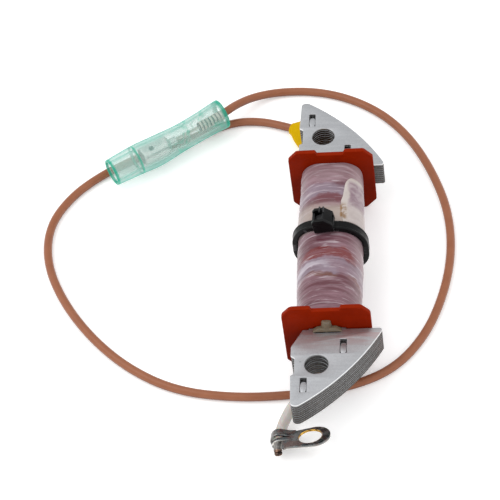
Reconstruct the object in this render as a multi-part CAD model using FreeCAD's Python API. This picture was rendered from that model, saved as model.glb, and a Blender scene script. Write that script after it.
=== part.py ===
"""Ignition source coil for a small engine: a lever-shaped laminated steel core with a curved pole at each
end, a two-flange bobbin wound and taped, a cable tie, a brown output lead with a bullet receptacle in a
vinyl sleeve, and a short sleeved ground lead with a ring terminal.

Frame: +Y runs along the coil, +Z is the stacking direction, +X points to the flywheel side.  The origin
is midway between the two mounting holes, on the underside of the core.  Everything is in millimetres.
"""
import FreeCAD, Part
import math
import os

from FreeCAD import Vector, Placement, Rotation

os.makedirs("parts", exist_ok=True)

# ---- driving dimensions -------------------------------------------------------------------------
LAM_COUNT = 10              # steel sheets in the core
LAM_T = 0.7                 # thickness of one sheet
LAM_BREAK = 0.07            # edge break left by blanking
STACK = LAM_COUNT * LAM_T

HOLE_Y = 35.85              # mounting holes, each side of the middle
HOLE_D = 5.6
POLE_IN_Y = 25.7            # inner edge of a pole
POLE_R = 57.2               # pole face radius, concentric with the flywheel
POLE_CX = -35.7             # flywheel centre
POLE_LEFT = -6.0            # straight back edge
POLE_TIP_Y = 47.7
TIP_R = 1.5
CORNER_R = 1.0
CHAMFER_X = 2.6             # corner cut next to the bobbin, along X and Y
CHAMFER_Y = 4.9
RECESS_Y0, RECESS_Y1 = 33.3, 39.0   # shallow recess in the back edge
RECESS_D = 0.9
RECESS_SLANT = 0.6
BAR_CX = 2.3                # middle of the bar that carries the bobbin
BAR_W = 8.6

TAB_W = 1.6                 # interlock tabs
TAB_L = 4.2
TAB_GAP = 0.45
TAB_XY = ((6.1, 30.7), (-2.9, 41.7))

BORE_FIT = 0.1              # bobbin bore to bar
WEDGE_ROOM = 0.45           # extra height above the bar for the wedge
BOBBIN_WALL = 0.7
FLANGE_OUT_Y = 25.5
FLANGE_T = 1.2
FLANGE_W = 20.7
FLANGE_H = 20.4
FLANGE_CZ = 3.2             # middle of the flanges; they hang a little lower than the core
NEAR_FLANGE_RISE = 0.8      # the -Y flange stands this much taller
FLANGE_CUT_TOP = (2.1, 2.4)         # clipped corners, along X and Z
FLANGE_CUT_LOW = (2.6, 2.9)
FLANGE_ROUND = 1.2          # radius at the ends of a clipped corner
NOTCH_W = 7.2
NOTCH_D = 1.0
NOTCH_SLANT = 0.4
SLOT_X = 0.8                # lead slot in the underside of a flange
SLOT_W = 3.9
SLOT_TOP = 2.8              # how far below the core the slot ends

PAPER_T = 0.25
TAPE_T = 0.6                # all turns of the tape together
WIND_W = 15.7               # taped winding, outside
WIND_H = 13.0
WIND_R = 5.4
WIND_CZ = 3.6
WIND_END_GAP = 0.1

TIE_Y = 2.9
TIE_W = 2.5
TIE_T = 1.25
TIE_ROOM = 0.1
TIE_SLANT = -6.0            # degrees about Z
TIE_HEAD = (4.8, 4.4, 4.2)
TIE_HEAD_X = 1.45
TIE_HEAD_ROLL = -9.0
TIE_HEAD_CUT = (1.8, 2.8)   # slope on the head, along X and Z
TIE_HEAD_R = 0.4
TIE_HEAD_LIFT = 0.6
TIE_CHANNEL_Z = (1.3, 2.6)
TIE_TAIL_Z = (1.25, 2.3)
TIE_WELL_X = (-1.6, 0.2)
TAPE_END_T = 0.2
TAPE_END_Y = (7.9, 19.6)

WEDGE_HEAD_W = (7.2, 4.6)   # at the foot and at the top
WEDGE_HEAD_H = 1.1
WEDGE_HEAD_T = 1.2
WEDGE_BLADE = (5.6, 14.0, 0.35)
NUB_R = 1.15
NUB_H = 3.1
NUB_ROUND = 0.4

LEAD_D = 2.1
GROUND_D = 2.6

SLEEVE_L = 33.0             # vinyl sleeve of the bullet connector
SLEEVE_WALL = 0.7
RECEPT_D = 4.9
RECEPT_ID = 4.0
MOUTH_ID = 5.6              # straight bore from the mouth to the stop ring
STOP_RING_S = 7.2
STOP_RING_T = 0.8
STOP_RING_ID = 5.2
RECEPT_S0, RECEPT_S1 = 8.9, 16.7
CRIMP_S1 = 20.2
GRIP_S0, GRIP_S1 = 25.8, 32.8
GRIP_D = 2.9
STRAND_D = 1.3
LEAD_END_S = 26.8
# outline of the sleeve: (outer radius, distance from the mouth)
SLEEVE_OUTLINE = [(3.5, 0.0), (3.9, 7.4), (3.97, 11.5), (3.83, 15.4), (3.5, 20.3), (3.55, 26.4), (3.85, 31.6),
                  (3.87, SLEEVE_L)]

TERM_HOLE_D = 5.4
TERM_R = 3.75               # rounded end of the terminal
TERM_END = (0.98, -0.17)    # its centre, seen from the middle of the hole
TERM_T = 0.65
TERM_BACK_X = -6.2
BARREL_X = -7.7
BARREL_Z = -1.1              # the tongue is rolled down round the wire
BARREL_D = 3.0
BARREL_ID = 2.0
BARREL_Y0, BARREL_Y1 = -1.2, 1.3
STUB_D = 1.9
STUB_END = Vector(-9.2, -52.9, -4.3)      # cut end of the wire in front of the barrel

MID_Z = STACK / 2.0
FLOOR_Z = FLANGE_CZ - FLANGE_H / 2.0
LEAD_Z = FLOOR_Z + LEAD_D / 2.0

# Output lead: from inside the crimp of the receptacle, round the coil, to inside the yellow sleeve.
CONNECTOR_MOUTH = Vector(-54.52, 34.73, FLOOR_Z + 5.19)
CONNECTOR_END = Vector(-27.0, 52.7, FLOOR_Z + 6.0)
LEAD_ROUTE = [
    (-26.7, 53.2, -0.95), (-23.9, 57.5, -2.4), (-19.5, 62.4, -4.7), (-12.4, 65.0, LEAD_Z),
    (-3.0, 64.4, LEAD_Z), (6.0, 61.0, LEAD_Z), (14.4, 54.8, LEAD_Z), (21.2, 45.8, LEAD_Z),
    (26.4, 34.4, LEAD_Z), (30.2, 21.4, LEAD_Z), (31.0, 8.0, LEAD_Z), (29.0, -5.2, LEAD_Z),
    (24.6, -17.8, LEAD_Z), (17.2, -27.8, LEAD_Z), (6.6, -32.9, LEAD_Z), (-7.0, -34.8, LEAD_Z),
    (-21.0, -34.9, LEAD_Z), (-34.8, -32.2, LEAD_Z), (-46.4, -25.2, LEAD_Z), (-56.2, -15.4, LEAD_Z),
    (-64.2, -3.6, LEAD_Z), (-69.4, 9.0, LEAD_Z), (-69.9, 21.2, LEAD_Z), (-65.2, 30.8, LEAD_Z),
    (-58.2, 37.7, LEAD_Z), (-51.0, 42.2, LEAD_Z), (-44.0, 46.2, LEAD_Z), (-36.2, 49.2, LEAD_Z),
    (-30.2, 52.2, LEAD_Z), (-24.0, 54.7, LEAD_Z), (-17.8, 54.5, LEAD_Z),
    (-12.6, 52.8, FLOOR_Z + 1.15), (-8.2, 50.7, FLOOR_Z + 1.4),
]

# Ground lead: from under the winding, through the flange slot and over the output lead, to the terminal.
GROUND_ROUTE = [
    (0.8, -21.0, -4.6), (0.7, -25.2, -4.6), (0.0, -30.0, -3.0), (-2.0, -34.8, -1.9), (-5.2, -38.9, -2.3),
    (-7.7, -42.1, -4.2), (-9.2, -45.3, -5.66), (-9.48, -49.0, -4.98),
]
TERM_CENTRE = Vector(-1.96, -48.95, FLOOR_Z + 4.2)
TERM_TURN = (8.0, -4.8, -20.5)       # yaw, pitch, roll of the terminal
TERM_SWING = -5.0                    # then turned in its own plane

# Yellow sleeve: (x, y, height of the middle above the floor, heading in degrees, width, height)
YELLOW_SECTIONS = [
    (-9.6, 51.35, 1.3, -29.0, 2.8, 2.6),
    (-6.2, 50.4, 1.45, -46.0, 8.2, 2.7),
    (-3.9, 44.4, 1.6, -74.0, 6.8, 2.6),
    (-1.2, 35.2, 1.9, -78.0, 4.8, 2.4),
    (0.6, 28.0, 2.2, -88.0, 3.4, 2.2),
    (0.8, 21.5, 2.3, -90.0, 3.2, 2.2),
]


# ---- small helpers ------------------------------------------------------------------------------
def save(shape, node):
    """Write one sub-part as STEP after checking that it is closed and valid."""
    for solid in shape.Solids:
        assert solid.isValid() and solid.Volume > 0, node
    print("%-24s solids %d  volume %9.3f" % (node, len(shape.Solids), shape.Volume))
    shape.exportStep("parts/%s.step" % node)


def box(x0, x1, y0, y1, z0, z1):
    """Axis-aligned box from its six sides."""
    return Part.makeBox(x1 - x0, y1 - y0, z1 - z0, Vector(x0, y0, z0))


def polygon_face(points, z=0.0):
    """Flat face from a list of (x, y) corners."""
    corners = [Vector(x, y, z) for x, y in points]
    return Part.Face(Part.makePolygon(corners + corners[:1]))


def rounded_rect_wire(w, h, r, cx, cz, y):
    """Rounded rectangle in a plane of constant Y, centred at (cx, cz)."""
    x0, x1, z0, z1 = cx - w / 2, cx + w / 2, cz - h / 2, cz + h / 2
    k = r * (1 - math.sqrt(0.5))
    edges = [
        Part.LineSegment(Vector(x0 + r, y, z0), Vector(x1 - r, y, z0)).toShape(),
        Part.Arc(Vector(x1 - r, y, z0), Vector(x1 - k, y, z0 + k), Vector(x1, y, z0 + r)).toShape(),
        Part.LineSegment(Vector(x1, y, z0 + r), Vector(x1, y, z1 - r)).toShape(),
        Part.Arc(Vector(x1, y, z1 - r), Vector(x1 - k, y, z1 - k), Vector(x1 - r, y, z1)).toShape(),
        Part.LineSegment(Vector(x1 - r, y, z1), Vector(x0 + r, y, z1)).toShape(),
        Part.Arc(Vector(x0 + r, y, z1), Vector(x0 + k, y, z1 - k), Vector(x0, y, z1 - r)).toShape(),
        Part.LineSegment(Vector(x0, y, z1 - r), Vector(x0, y, z0 + r)).toShape(),
        Part.Arc(Vector(x0, y, z0 + r), Vector(x0 + k, y, z0 + k), Vector(x0 + r, y, z0)).toShape(),
    ]
    return Part.Wire(edges)


def rounded_rect_bar(w, h, r, cx, cz, y0, y1):
    """Prism along Y with a rounded rectangular section."""
    return Part.Face(rounded_rect_wire(w, h, r, cx, cz, y0)).extrude(Vector(0, y1 - y0, 0))


def cylinder(r, start, end):
    """Round bar between two points."""
    axis = end - start
    return Part.makeCylinder(r, axis.Length, start, axis)


# ---- cords --------------------------------------------------------------------------------------
def cord_wire(points, name):
    """Straight runs joined by tangent arcs, each as large as its two runs allow."""
    points = [Vector(*p) for p in points]
    edges = []
    start = points[0]
    radii = []
    for before, at, after in zip(points, points[1:], points[2:]):
        to_before = (before - at).normalize()
        to_after = (after - at).normalize()
        run = min((before - at).Length, (after - at).Length)
        setback = 0.45 * run
        half_turn = (math.pi - to_before.getAngle(to_after)) / 2
        radius = setback / math.tan(half_turn)
        radii.append(radius)
        arc_in = at + to_before * setback
        arc_out = at + to_after * setback
        inward = (to_before + to_after).normalize()
        middle = at + inward * (math.hypot(radius, setback) - radius)
        edges.append(Part.LineSegment(start, arc_in).toShape())
        edges.append(Part.Arc(arc_in, middle, arc_out).toShape())
        start = arc_out
    edges.append(Part.LineSegment(start, points[-1]).toShape())
    print("%s radii: %s" % (name, " ".join("%.0f" % r for r in radii)))
    return Part.Wire(edges)


def cord_tube(points, diameter, name):
    """Round tube along a route, with its volume compared with section times length."""
    path = cord_wire(points, name)
    first = path.Edges[0]
    tangent = first.tangentAt(first.FirstParameter)
    circle = Part.makeCircle(diameter / 2, Vector(*points[0]), tangent)
    tube = path.makePipeShell([Part.Wire(circle)], True, True)
    wanted = math.pi * diameter ** 2 / 4 * path.Length
    print("%s length %.1f mm, volume / (section x length) = %.4f" % (name, path.Length, tube.Volume / wanted))
    return tube


# ---- core ---------------------------------------------------------------------------------------
def pole_outline():
    """Half of the lamination outline for the +Y pole, from the bar's right side to its left side."""
    face_x = POLE_CX + math.sqrt(POLE_R ** 2 - POLE_IN_Y ** 2)
    tip_x = POLE_CX + math.sqrt(POLE_R ** 2 - POLE_TIP_Y ** 2)
    mid_y = (POLE_IN_Y + POLE_TIP_Y) / 2
    mid_x = POLE_CX + math.sqrt(POLE_R ** 2 - mid_y ** 2)
    left = [
        (tip_x, POLE_TIP_Y), (POLE_LEFT + 0.3, POLE_TIP_Y - 0.3),
        (POLE_LEFT, RECESS_Y1), (POLE_LEFT + RECESS_D, RECESS_Y1 - RECESS_SLANT),
        (POLE_LEFT + RECESS_D, RECESS_Y0 + RECESS_SLANT), (POLE_LEFT, RECESS_Y0),
        (POLE_LEFT, POLE_IN_Y + CHAMFER_Y), (POLE_LEFT + CHAMFER_X, POLE_IN_Y),
    ]
    inner = (face_x, POLE_IN_Y)
    middle = (mid_x, mid_y)
    return inner, middle, left


def lamination_blank():
    """One sheet: the bar with a pole at each end, mounting holes and interlock slots."""
    inner, middle, left = pole_outline()
    poles = []
    for side in (1, -1):
        corners = [Vector(x, side * y, 0) for x, y in left]
        inner_v = Vector(inner[0], side * inner[1], 0)
        edges = [Part.Arc(inner_v, Vector(middle[0], side * middle[1], 0), corners[0]).toShape()]
        ring = corners + [inner_v]
        edges += [Part.LineSegment(a, b).toShape() for a, b in zip(ring, ring[1:])]
        pole = Part.Face(Part.Wire(Part.__sortEdges__(edges))).extrude(Vector(0, 0, LAM_T))
        pole = round_vertical(pole, inner_v, CORNER_R)
        pole = round_vertical(pole, corners[0], TIP_R)
        pole = round_vertical(pole, corners[1], CORNER_R)
        poles.append(pole)
    bar = box(BAR_CX - BAR_W / 2, BAR_CX + BAR_W / 2, -POLE_IN_Y - 1, POLE_IN_Y + 1, 0, LAM_T)
    blank = bar.fuse(poles).removeSplitter()
    top_edges = [e for e in blank.Edges if e.BoundBox.ZMin > LAM_T - 1e-6]
    blank = blank.makeChamfer(LAM_BREAK, top_edges)
    for side in (1, -1):
        blank = blank.cut(Part.makeCylinder(HOLE_D / 2, LAM_T, Vector(0, side * HOLE_Y, 0)))
        for x, y in TAB_XY:
            y = side * y
            blank = blank.cut(box(x - TAB_W / 2, x + TAB_W / 2, y - TAB_L / 2, y + TAB_L / 2, 0, LAM_T))
    return blank


def round_vertical(solid, corner, radius):
    """Fillet the upright edge that stands on a corner of the outline."""
    for edge in solid.Edges:
        bb = edge.BoundBox
        upright = bb.ZLength > LAM_T / 2 and bb.XLength < 1e-6 and bb.YLength < 1e-6
        if upright and abs(bb.XMin - corner.x) < 1e-6 and abs(bb.YMin - corner.y) < 1e-6:
            return solid.makeFillet(radius, [edge])
    raise ValueError("no upright edge at that corner")


def interlock_tab(x, y):
    """Tab lanced out of a sheet: it hangs from its -Y end and drops one sheet thickness."""
    y0, y1 = y - TAB_L / 2, y + TAB_L / 2 - TAB_GAP
    top, low = LAM_T, 0.02
    mid_y = y0 + 0.45 * (y1 - y0)
    start, mid, end = Vector(0, y0, top), Vector(0, mid_y, low + 0.1), Vector(0, y1, low)
    drop = Vector(0, 0, -LAM_T)
    edges = [
        Part.Arc(start, mid, end).toShape(),
        Part.LineSegment(end, end + drop).toShape(),
        Part.Arc(end + drop, mid + drop, start + drop).toShape(),
        Part.LineSegment(start + drop, start).toShape(),
    ]
    tab = Part.Face(Part.Wire(edges)).extrude(Vector(TAB_W, 0, 0))
    tab.translate(Vector(x - TAB_W / 2, 0, 0))
    return tab


def make_core():
    """Ten sheets; the lowest is pierced through so that no tab stands below the stack."""
    blank = lamination_blank()
    tabs = [interlock_tab(x, side * y) for side in (1, -1) for x, y in TAB_XY]
    sheet = blank.fuse(tabs)
    for k in range(LAM_COUNT):
        lam = (blank if k == 0 else sheet).copy()
        lam.translate(Vector(0, 0, k * LAM_T))
        save(lam, "lamination_%02d" % (k + 1))


# ---- bobbin and winding -------------------------------------------------------------------------
BORE_W = BAR_W + 2 * BORE_FIT
BORE_Z0, BORE_Z1 = -BORE_FIT, STACK + WEDGE_ROOM
TUBE_W = BORE_W + 2 * BOBBIN_WALL
TUBE_Z0, TUBE_Z1 = BORE_Z0 - BOBBIN_WALL, BORE_Z1 + BOBBIN_WALL
FLANGE_IN_Y = FLANGE_OUT_Y - FLANGE_T
WIND_Y = FLANGE_IN_Y - WIND_END_GAP


def flange(side):
    """Flange plate with clipped corners and a shallow notch in the top and bottom edges."""
    w, h, n, d = FLANGE_W / 2, FLANGE_H / 2, NOTCH_W / 2, NOTCH_D
    top = h if side > 0 else h + NEAR_FLANGE_RISE
    (top_x, top_z), (low_x, low_z) = FLANGE_CUT_TOP, FLANGE_CUT_LOW
    right = [(n - NOTCH_SLANT, d - h), (n, -h), (w - low_x, -h), (w, low_z - h),
             (w, top - top_z), (w - top_x, top), (n, top), (n - NOTCH_SLANT, top - d)]
    outline = right + [(-x, z) for x, z in reversed(right)]
    corners = [Vector(BAR_CX + x, side * FLANGE_IN_Y, FLANGE_CZ + z) for x, z in outline]
    plate = Part.Face(Part.makePolygon(corners + corners[:1])).extrude(Vector(0, side * FLANGE_T, 0))
    clips = [e for e in plate.Edges if e.BoundBox.YLength > FLANGE_T / 2
             and abs(e.BoundBox.XMin - BAR_CX) > n + 1.0]
    plate = plate.makeFillet(FLANGE_ROUND, clips)
    slot = box(SLOT_X - SLOT_W / 2, SLOT_X + SLOT_W / 2, -FLANGE_OUT_Y - 1, FLANGE_OUT_Y + 1,
               FLOOR_Z - 1, -SLOT_TOP)
    return plate.cut(slot)


def make_bobbin():
    """Two mouldings that meet at mid height, so that they close over the one-piece sheets."""
    tube = box(BAR_CX - TUBE_W / 2, BAR_CX + TUBE_W / 2, -FLANGE_OUT_Y, FLANGE_OUT_Y, TUBE_Z0, TUBE_Z1)
    bore = box(BAR_CX - BORE_W / 2, BAR_CX + BORE_W / 2, -FLANGE_OUT_Y - 1, FLANGE_OUT_Y + 1,
               BORE_Z0, BORE_Z1)
    whole = tube.fuse([flange(1), flange(-1)]).cut(bore).removeSplitter()
    big = 2 * FLANGE_W
    upper = box(-big, big, -2 * big, 2 * big, MID_Z, MID_Z + big)
    lower = box(-big, big, -2 * big, 2 * big, MID_Z - big, MID_Z)
    save(whole.common(upper), "bobbin_upper_half")
    save(whole.common(lower), "bobbin_lower_half")


def make_winding():
    """Paper over the bobbin, the copper turns, and the outer tape."""
    tube_cz = (TUBE_Z0 + TUBE_Z1) / 2
    tube_h = TUBE_Z1 - TUBE_Z0
    tube = box(BAR_CX - TUBE_W / 2, BAR_CX + TUBE_W / 2, -WIND_Y, WIND_Y, TUBE_Z0, TUBE_Z1)
    paper_out = rounded_rect_bar(TUBE_W + 2 * PAPER_T, tube_h + 2 * PAPER_T, PAPER_T, BAR_CX, tube_cz,
                                 -WIND_Y, WIND_Y)
    copper_out = rounded_rect_bar(WIND_W - 2 * TAPE_T, WIND_H - 2 * TAPE_T, WIND_R - TAPE_T, BAR_CX, WIND_CZ,
                                  -WIND_Y, WIND_Y)
    tape_out = rounded_rect_bar(WIND_W, WIND_H, WIND_R, BAR_CX, WIND_CZ, -WIND_Y, WIND_Y)
    save(paper_out.cut(tube), "paper_layer")
    save(copper_out.cut(paper_out), "copper_winding")
    save(tape_out.cut(copper_out), "outer_tape")


def make_tape_end():
    """End of the tape, stuck down along the upper right of the winding between the tie and the far flange."""
    y0, y1 = TAPE_END_Y
    inner = rounded_rect_bar(WIND_W, WIND_H, WIND_R, BAR_CX, WIND_CZ, y0, y1)
    outer = rounded_rect_bar(WIND_W + 2 * TAPE_END_T, WIND_H + 2 * TAPE_END_T, WIND_R + TAPE_END_T, BAR_CX,
                             WIND_CZ, y0, y1)
    band = box(BAR_CX + 3.2, BAR_CX + WIND_W, y0, y1, WIND_CZ + 1.0, WIND_CZ + WIND_H)
    save(outer.cut(inner).common(band), "tape_end")


def make_tie():
    """Nylon tie: a closed strap round the winding and its head with the cut-off tail inside."""
    w, h, r = WIND_W + 2 * TIE_ROOM, WIND_H + 2 * TIE_ROOM, WIND_R + TIE_ROOM
    slant = math.radians(TIE_SLANT)
    reach = TIE_W / 2 / math.cos(slant) + (w / 2 + TIE_T) * math.tan(abs(slant))
    inner = rounded_rect_bar(w, h, r, BAR_CX, WIND_CZ, -reach - 9, reach + 9)
    outer = rounded_rect_bar(w + 2 * TIE_T, h + 2 * TIE_T, r + TIE_T, BAR_CX, WIND_CZ, -reach - 1, reach + 1)
    slab = box(-2 * w, 2 * w, -TIE_W / 2, TIE_W / 2, -2 * h, 2 * h)
    slab.rotate(Vector(0, 0, 0), Vector(0, 0, 1), TIE_SLANT)
    slab.translate(Vector(BAR_CX, 0, WIND_CZ))
    strap = outer.common(slab).cut(inner)
    head = tie_head()
    head.rotate(Vector(0, 0, 0), Vector(0, 1, 0), TIE_HEAD_ROLL)
    head.rotate(Vector(0, 0, 0), Vector(0, 0, 1), TIE_SLANT / 3)
    head.translate(Vector(TIE_HEAD_X, 0, WIND_CZ + h / 2 + TIE_HEAD_LIFT))
    tie = strap.fuse(head.cut(inner)).removeSplitter()
    tie.translate(Vector(0, TIE_Y, 0))
    save(tie, "cable_tie")


def tie_head():
    """Head of the tie, standing on the origin: sloped on one side, open along the strap and on top."""
    hx, hy, hz = TIE_HEAD
    cut_x, cut_z = TIE_HEAD_CUT
    head = box(-hx / 2, hx / 2, -hy / 2, hy / 2, 0, hz)
    slope = polygon_face([(hx / 2 - cut_x, 0), (hx / 2 + 1, 0), (hx / 2 + 1, -cut_z)])
    slope.rotate(Vector(0, 0, 0), Vector(1, 0, 0), 90)
    slope.translate(Vector(0, hy / 2 + 1, hz + 1e-3))
    head = head.cut(slope.extrude(Vector(0, -hy - 2, 0)))
    uprights = [e for e in head.Edges if e.BoundBox.ZLength > 1 and e.BoundBox.XLength < 1e-6]
    head = head.makeFillet(TIE_HEAD_R, uprights)
    half = TIE_W / 2
    channel = box(-hx / 2 - 1, hx / 2 + 1, -half - TIE_ROOM, half + TIE_ROOM, *TIE_CHANNEL_Z)
    well = box(TIE_WELL_X[0], TIE_WELL_X[1], -1.0, 1.0, 2.0, hz + 1)
    tail = box(-hx / 2 + 0.3, hx / 2 - 0.7, -half, half, *TIE_TAIL_Z)
    return head.cut([channel, well]).fuse(tail)


def make_wedge():
    """Wedge driven between the bar and the bobbin: a thin blade, a head and its nub."""
    base_y = -FLANGE_OUT_Y
    foot, top = (w / 2 for w in WEDGE_HEAD_W)
    blade_w, blade_l, blade_t = WEDGE_BLADE
    blade = box(BAR_CX - blade_w / 2, BAR_CX + blade_w / 2, base_y, base_y + blade_l, STACK, STACK + blade_t)
    profile = [Vector(BAR_CX + x, base_y, STACK + z)
               for x, z in ((-foot, 0), (foot, 0), (top, WEDGE_HEAD_H), (-top, WEDGE_HEAD_H))]
    head = Part.Face(Part.makePolygon(profile + profile[:1])).extrude(Vector(0, -WEDGE_HEAD_T, 0))
    nub = Part.makeCylinder(NUB_R, NUB_H, Vector(BAR_CX - 0.1, base_y, STACK))
    nub = nub.makeFillet(NUB_ROUND, [nub.Edges[0]])
    nub = nub.common(box(-NUB_R, 2 * BAR_CX + NUB_R, base_y - 2 * NUB_R, base_y, 0, 2 * STACK))
    save(head.fuse([nub, blade]).removeSplitter(), "core_wedge")


# ---- output lead and its connector --------------------------------------------------------------
CONNECTOR_AXIS = (CONNECTOR_END - CONNECTOR_MOUTH).normalize()
CONNECTOR_PLACE = Placement(CONNECTOR_MOUTH, Rotation(Vector(0, 0, 1), CONNECTOR_AXIS))


def on_connector(s):
    """Point on the connector's axis, s along it from the mouth."""
    return CONNECTOR_MOUTH + CONNECTOR_AXIS * s


def revolve_profile(points):
    """Turn an outline of (radius, distance) points about the connector's axis."""
    corners = [Vector(r, 0, s) for r, s in points]
    face = Part.Face(Part.makePolygon(corners + corners[:1]))
    return face.revolve(Vector(0, 0, 0), Vector(0, 0, 1), 360)


def spline_of_revolution(outline):
    """Solid turned about the connector's axis from a smooth line through (radius, distance) points."""
    curve = Part.BSplineCurve()
    curve.interpolate([Vector(r, 0, s) for r, s in outline])
    (r0, s0), (r1, s1) = outline[0], outline[-1]
    low, high = Vector(0, 0, s0), Vector(0, 0, s1)
    edges = [curve.toShape(), Part.LineSegment(Vector(r1, 0, s1), high).toShape(),
             Part.LineSegment(high, low).toShape(), Part.LineSegment(low, Vector(r0, 0, s0)).toShape()]
    return Part.Face(Part.Wire(Part.__sortEdges__(edges))).revolve(Vector(0, 0, 0), Vector(0, 0, 1), 360)


def make_sleeve():
    """Soft vinyl sleeve: straight mouth, stop ring, swollen over the receptacle, slim waist, wider end."""
    body = spline_of_revolution(SLEEVE_OUTLINE)
    hollow = spline_of_revolution([(r - SLEEVE_WALL, s) for r, s in SLEEVE_OUTLINE])
    ring_end = STOP_RING_S + STOP_RING_T
    behind_ring = hollow.common(Part.makeBox(20, 20, SLEEVE_L, Vector(-10, -10, ring_end)))
    mouth = Part.makeCylinder(MOUTH_ID / 2, STOP_RING_S)
    ring_hole = Part.makeCylinder(STOP_RING_ID / 2, ring_end)
    return body.cut([mouth, ring_hole, behind_ring])


def make_receptacle():
    """Tinned bullet receptacle: slit tube with a locking hole, a neck and the wire crimp."""
    r_out, r_in = RECEPT_D / 2, RECEPT_ID / 2
    tube = revolve_profile([(r_in, RECEPT_S0), (r_out, RECEPT_S0), (r_out, RECEPT_S1 - 0.6),
                            (1.5, RECEPT_S1 + 0.8), (1.5, CRIMP_S1), (STRAND_D / 2, CRIMP_S1),
                            (STRAND_D / 2, RECEPT_S1 + 0.4), (r_in, RECEPT_S1 - 0.6)])
    hole = Part.makeCylinder(0.6, 4.0, Vector(0, 0, RECEPT_S0 + 2.3), Vector(0, -1, 0))
    slit = box(-0.15, 0.15, 0, r_out + 1, RECEPT_S0 - 1, RECEPT_S1 - 1.2)
    return tube.cut([hole, slit])


def make_grip():
    """Ribbed insulation grip, pressed on over the end of the lead."""
    count = 7
    pitch = (GRIP_S1 - GRIP_S0) / count
    inside = LEAD_D / 2 + 0.02
    profile = [(inside, GRIP_S0)]
    for k in range(count):
        s = GRIP_S0 + k * pitch
        profile += [(GRIP_D / 2 - 0.22, s), (GRIP_D / 2, s + 0.25 * pitch), (GRIP_D / 2, s + 0.7 * pitch)]
    profile += [(GRIP_D / 2 - 0.22, GRIP_S1), (inside, GRIP_S1)]
    return revolve_profile(profile)


def make_output_lead():
    """Brown lead with the bullet connector on its free end."""
    for shape, node in ((make_sleeve(), "connector_sleeve"), (make_receptacle(), "bullet_receptacle"),
                        (make_grip(), "insulation_grip")):
        shape.Placement = CONNECTOR_PLACE
        save(shape, node)
    strands = cylinder(STRAND_D / 2, on_connector(RECEPT_S1 + 1.0), on_connector(LEAD_END_S))
    save(strands, "lead_strands")
    route = [tuple(on_connector(LEAD_END_S))] + LEAD_ROUTE
    print("output lead leaves the sleeve near", on_connector(SLEEVE_L))
    save(cord_tube(route, LEAD_D, "output lead"), "output_lead")


def stadium_section(x, y, z, heading, w, h):
    """Flattened round section, upright, facing along its heading."""
    wire = rounded_rect_wire(w, h, h / 2 - 0.02, 0, 0, 0)
    wire.rotate(Vector(0, 0, 0), Vector(0, 0, 1), heading - 90)
    wire.translate(Vector(x, y, FLOOR_Z + z))
    return wire


def make_yellow_sleeve():
    """Flattened insulating sleeve over the joint between the lead and the winding's end."""
    wires = [stadium_section(*section) for section in YELLOW_SECTIONS]
    sleeve = Part.makeLoft(wires, True, False)
    end, before = Vector(*LEAD_ROUTE[-1]), Vector(*LEAD_ROUTE[-2])
    bore = cylinder(LEAD_D / 2 + 0.03, before + (before - end) * 2, end)
    save(sleeve.cut(bore), "yellow_sleeve")


# ---- ground lead and its terminal ---------------------------------------------------------------
TERM_PLACE = Placement(TERM_CENTRE, Rotation(*TERM_TURN).multiply(Rotation(Vector(0, 0, 1), TERM_SWING)))


def make_ground_lead():
    """Sleeved ground lead and ring terminal, with the bare end standing out of the barrel."""
    end_x, end_y = TERM_END
    far_y = end_y + TERM_R
    disc = Part.makeCylinder(TERM_R, TERM_T, Vector(end_x, end_y, -TERM_T))
    plate = box(TERM_BACK_X, end_x, end_y - TERM_R, far_y, -TERM_T, 0)
    corner = box(-2, 2, -2, 2, -1.5 * TERM_T, 0.5 * TERM_T)
    corner.rotate(Vector(0, 0, 0), Vector(0, 0, 1), 45)
    corner.translate(Vector(TERM_BACK_X - 1.2, far_y + 1.2, 0))
    tongue = box(BARREL_X, TERM_BACK_X + 1, BARREL_Y0, BARREL_Y1, -TERM_T, 0)
    start, axis = Vector(BARREL_X, BARREL_Y0, BARREL_Z), Vector(0, 1, 0)
    length = BARREL_Y1 - BARREL_Y0
    barrel = Part.makeCylinder(BARREL_D / 2, length, start, axis)
    bore = Part.makeCylinder(BARREL_ID / 2, length + 2, start - axis, axis)
    seam = box(BARREL_X, BARREL_X + BARREL_D, BARREL_Y0 - 1, BARREL_Y1 + 1, BARREL_Z - 0.1, BARREL_Z + 0.1)
    hole = Part.makeCylinder(TERM_HOLE_D / 2, TERM_T + 2, Vector(0, 0, -TERM_T - 1))
    terminal = disc.fuse([plate, tongue, barrel]).removeSplitter().cut([corner, bore, seam, hole])
    terminal.Placement = TERM_PLACE
    save(terminal, "ring_terminal")
    inside = TERM_PLACE.multVec(Vector(BARREL_X, BARREL_Y1 - 0.5, BARREL_Z))
    leaving = TERM_PLACE.multVec(Vector(BARREL_X, BARREL_Y0 - 0.9, BARREL_Z))
    save(cord_tube([inside, leaving, STUB_END], STUB_D, "wire end"), "ground_wire_end")
    print("ground lead should end at", inside)
    save(cord_tube(GROUND_ROUTE, GROUND_D, "ground lead"), "ground_lead")


make_core()
make_bobbin()
make_winding()
make_tape_end()
make_tie()
make_wedge()
make_output_lead()
make_yellow_sleeve()
make_ground_lead()
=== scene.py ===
"""Looks of the ignition coil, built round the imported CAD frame.

The object's frame is in metres: +Y along the coil, +Z through the core's stack, +X to the flywheel side.
Shapes below are written in millimetres and scaled when each mesh is made.
"""
import math

import bmesh
import bpy
from mathutils import Matrix, Vector, noise


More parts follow.
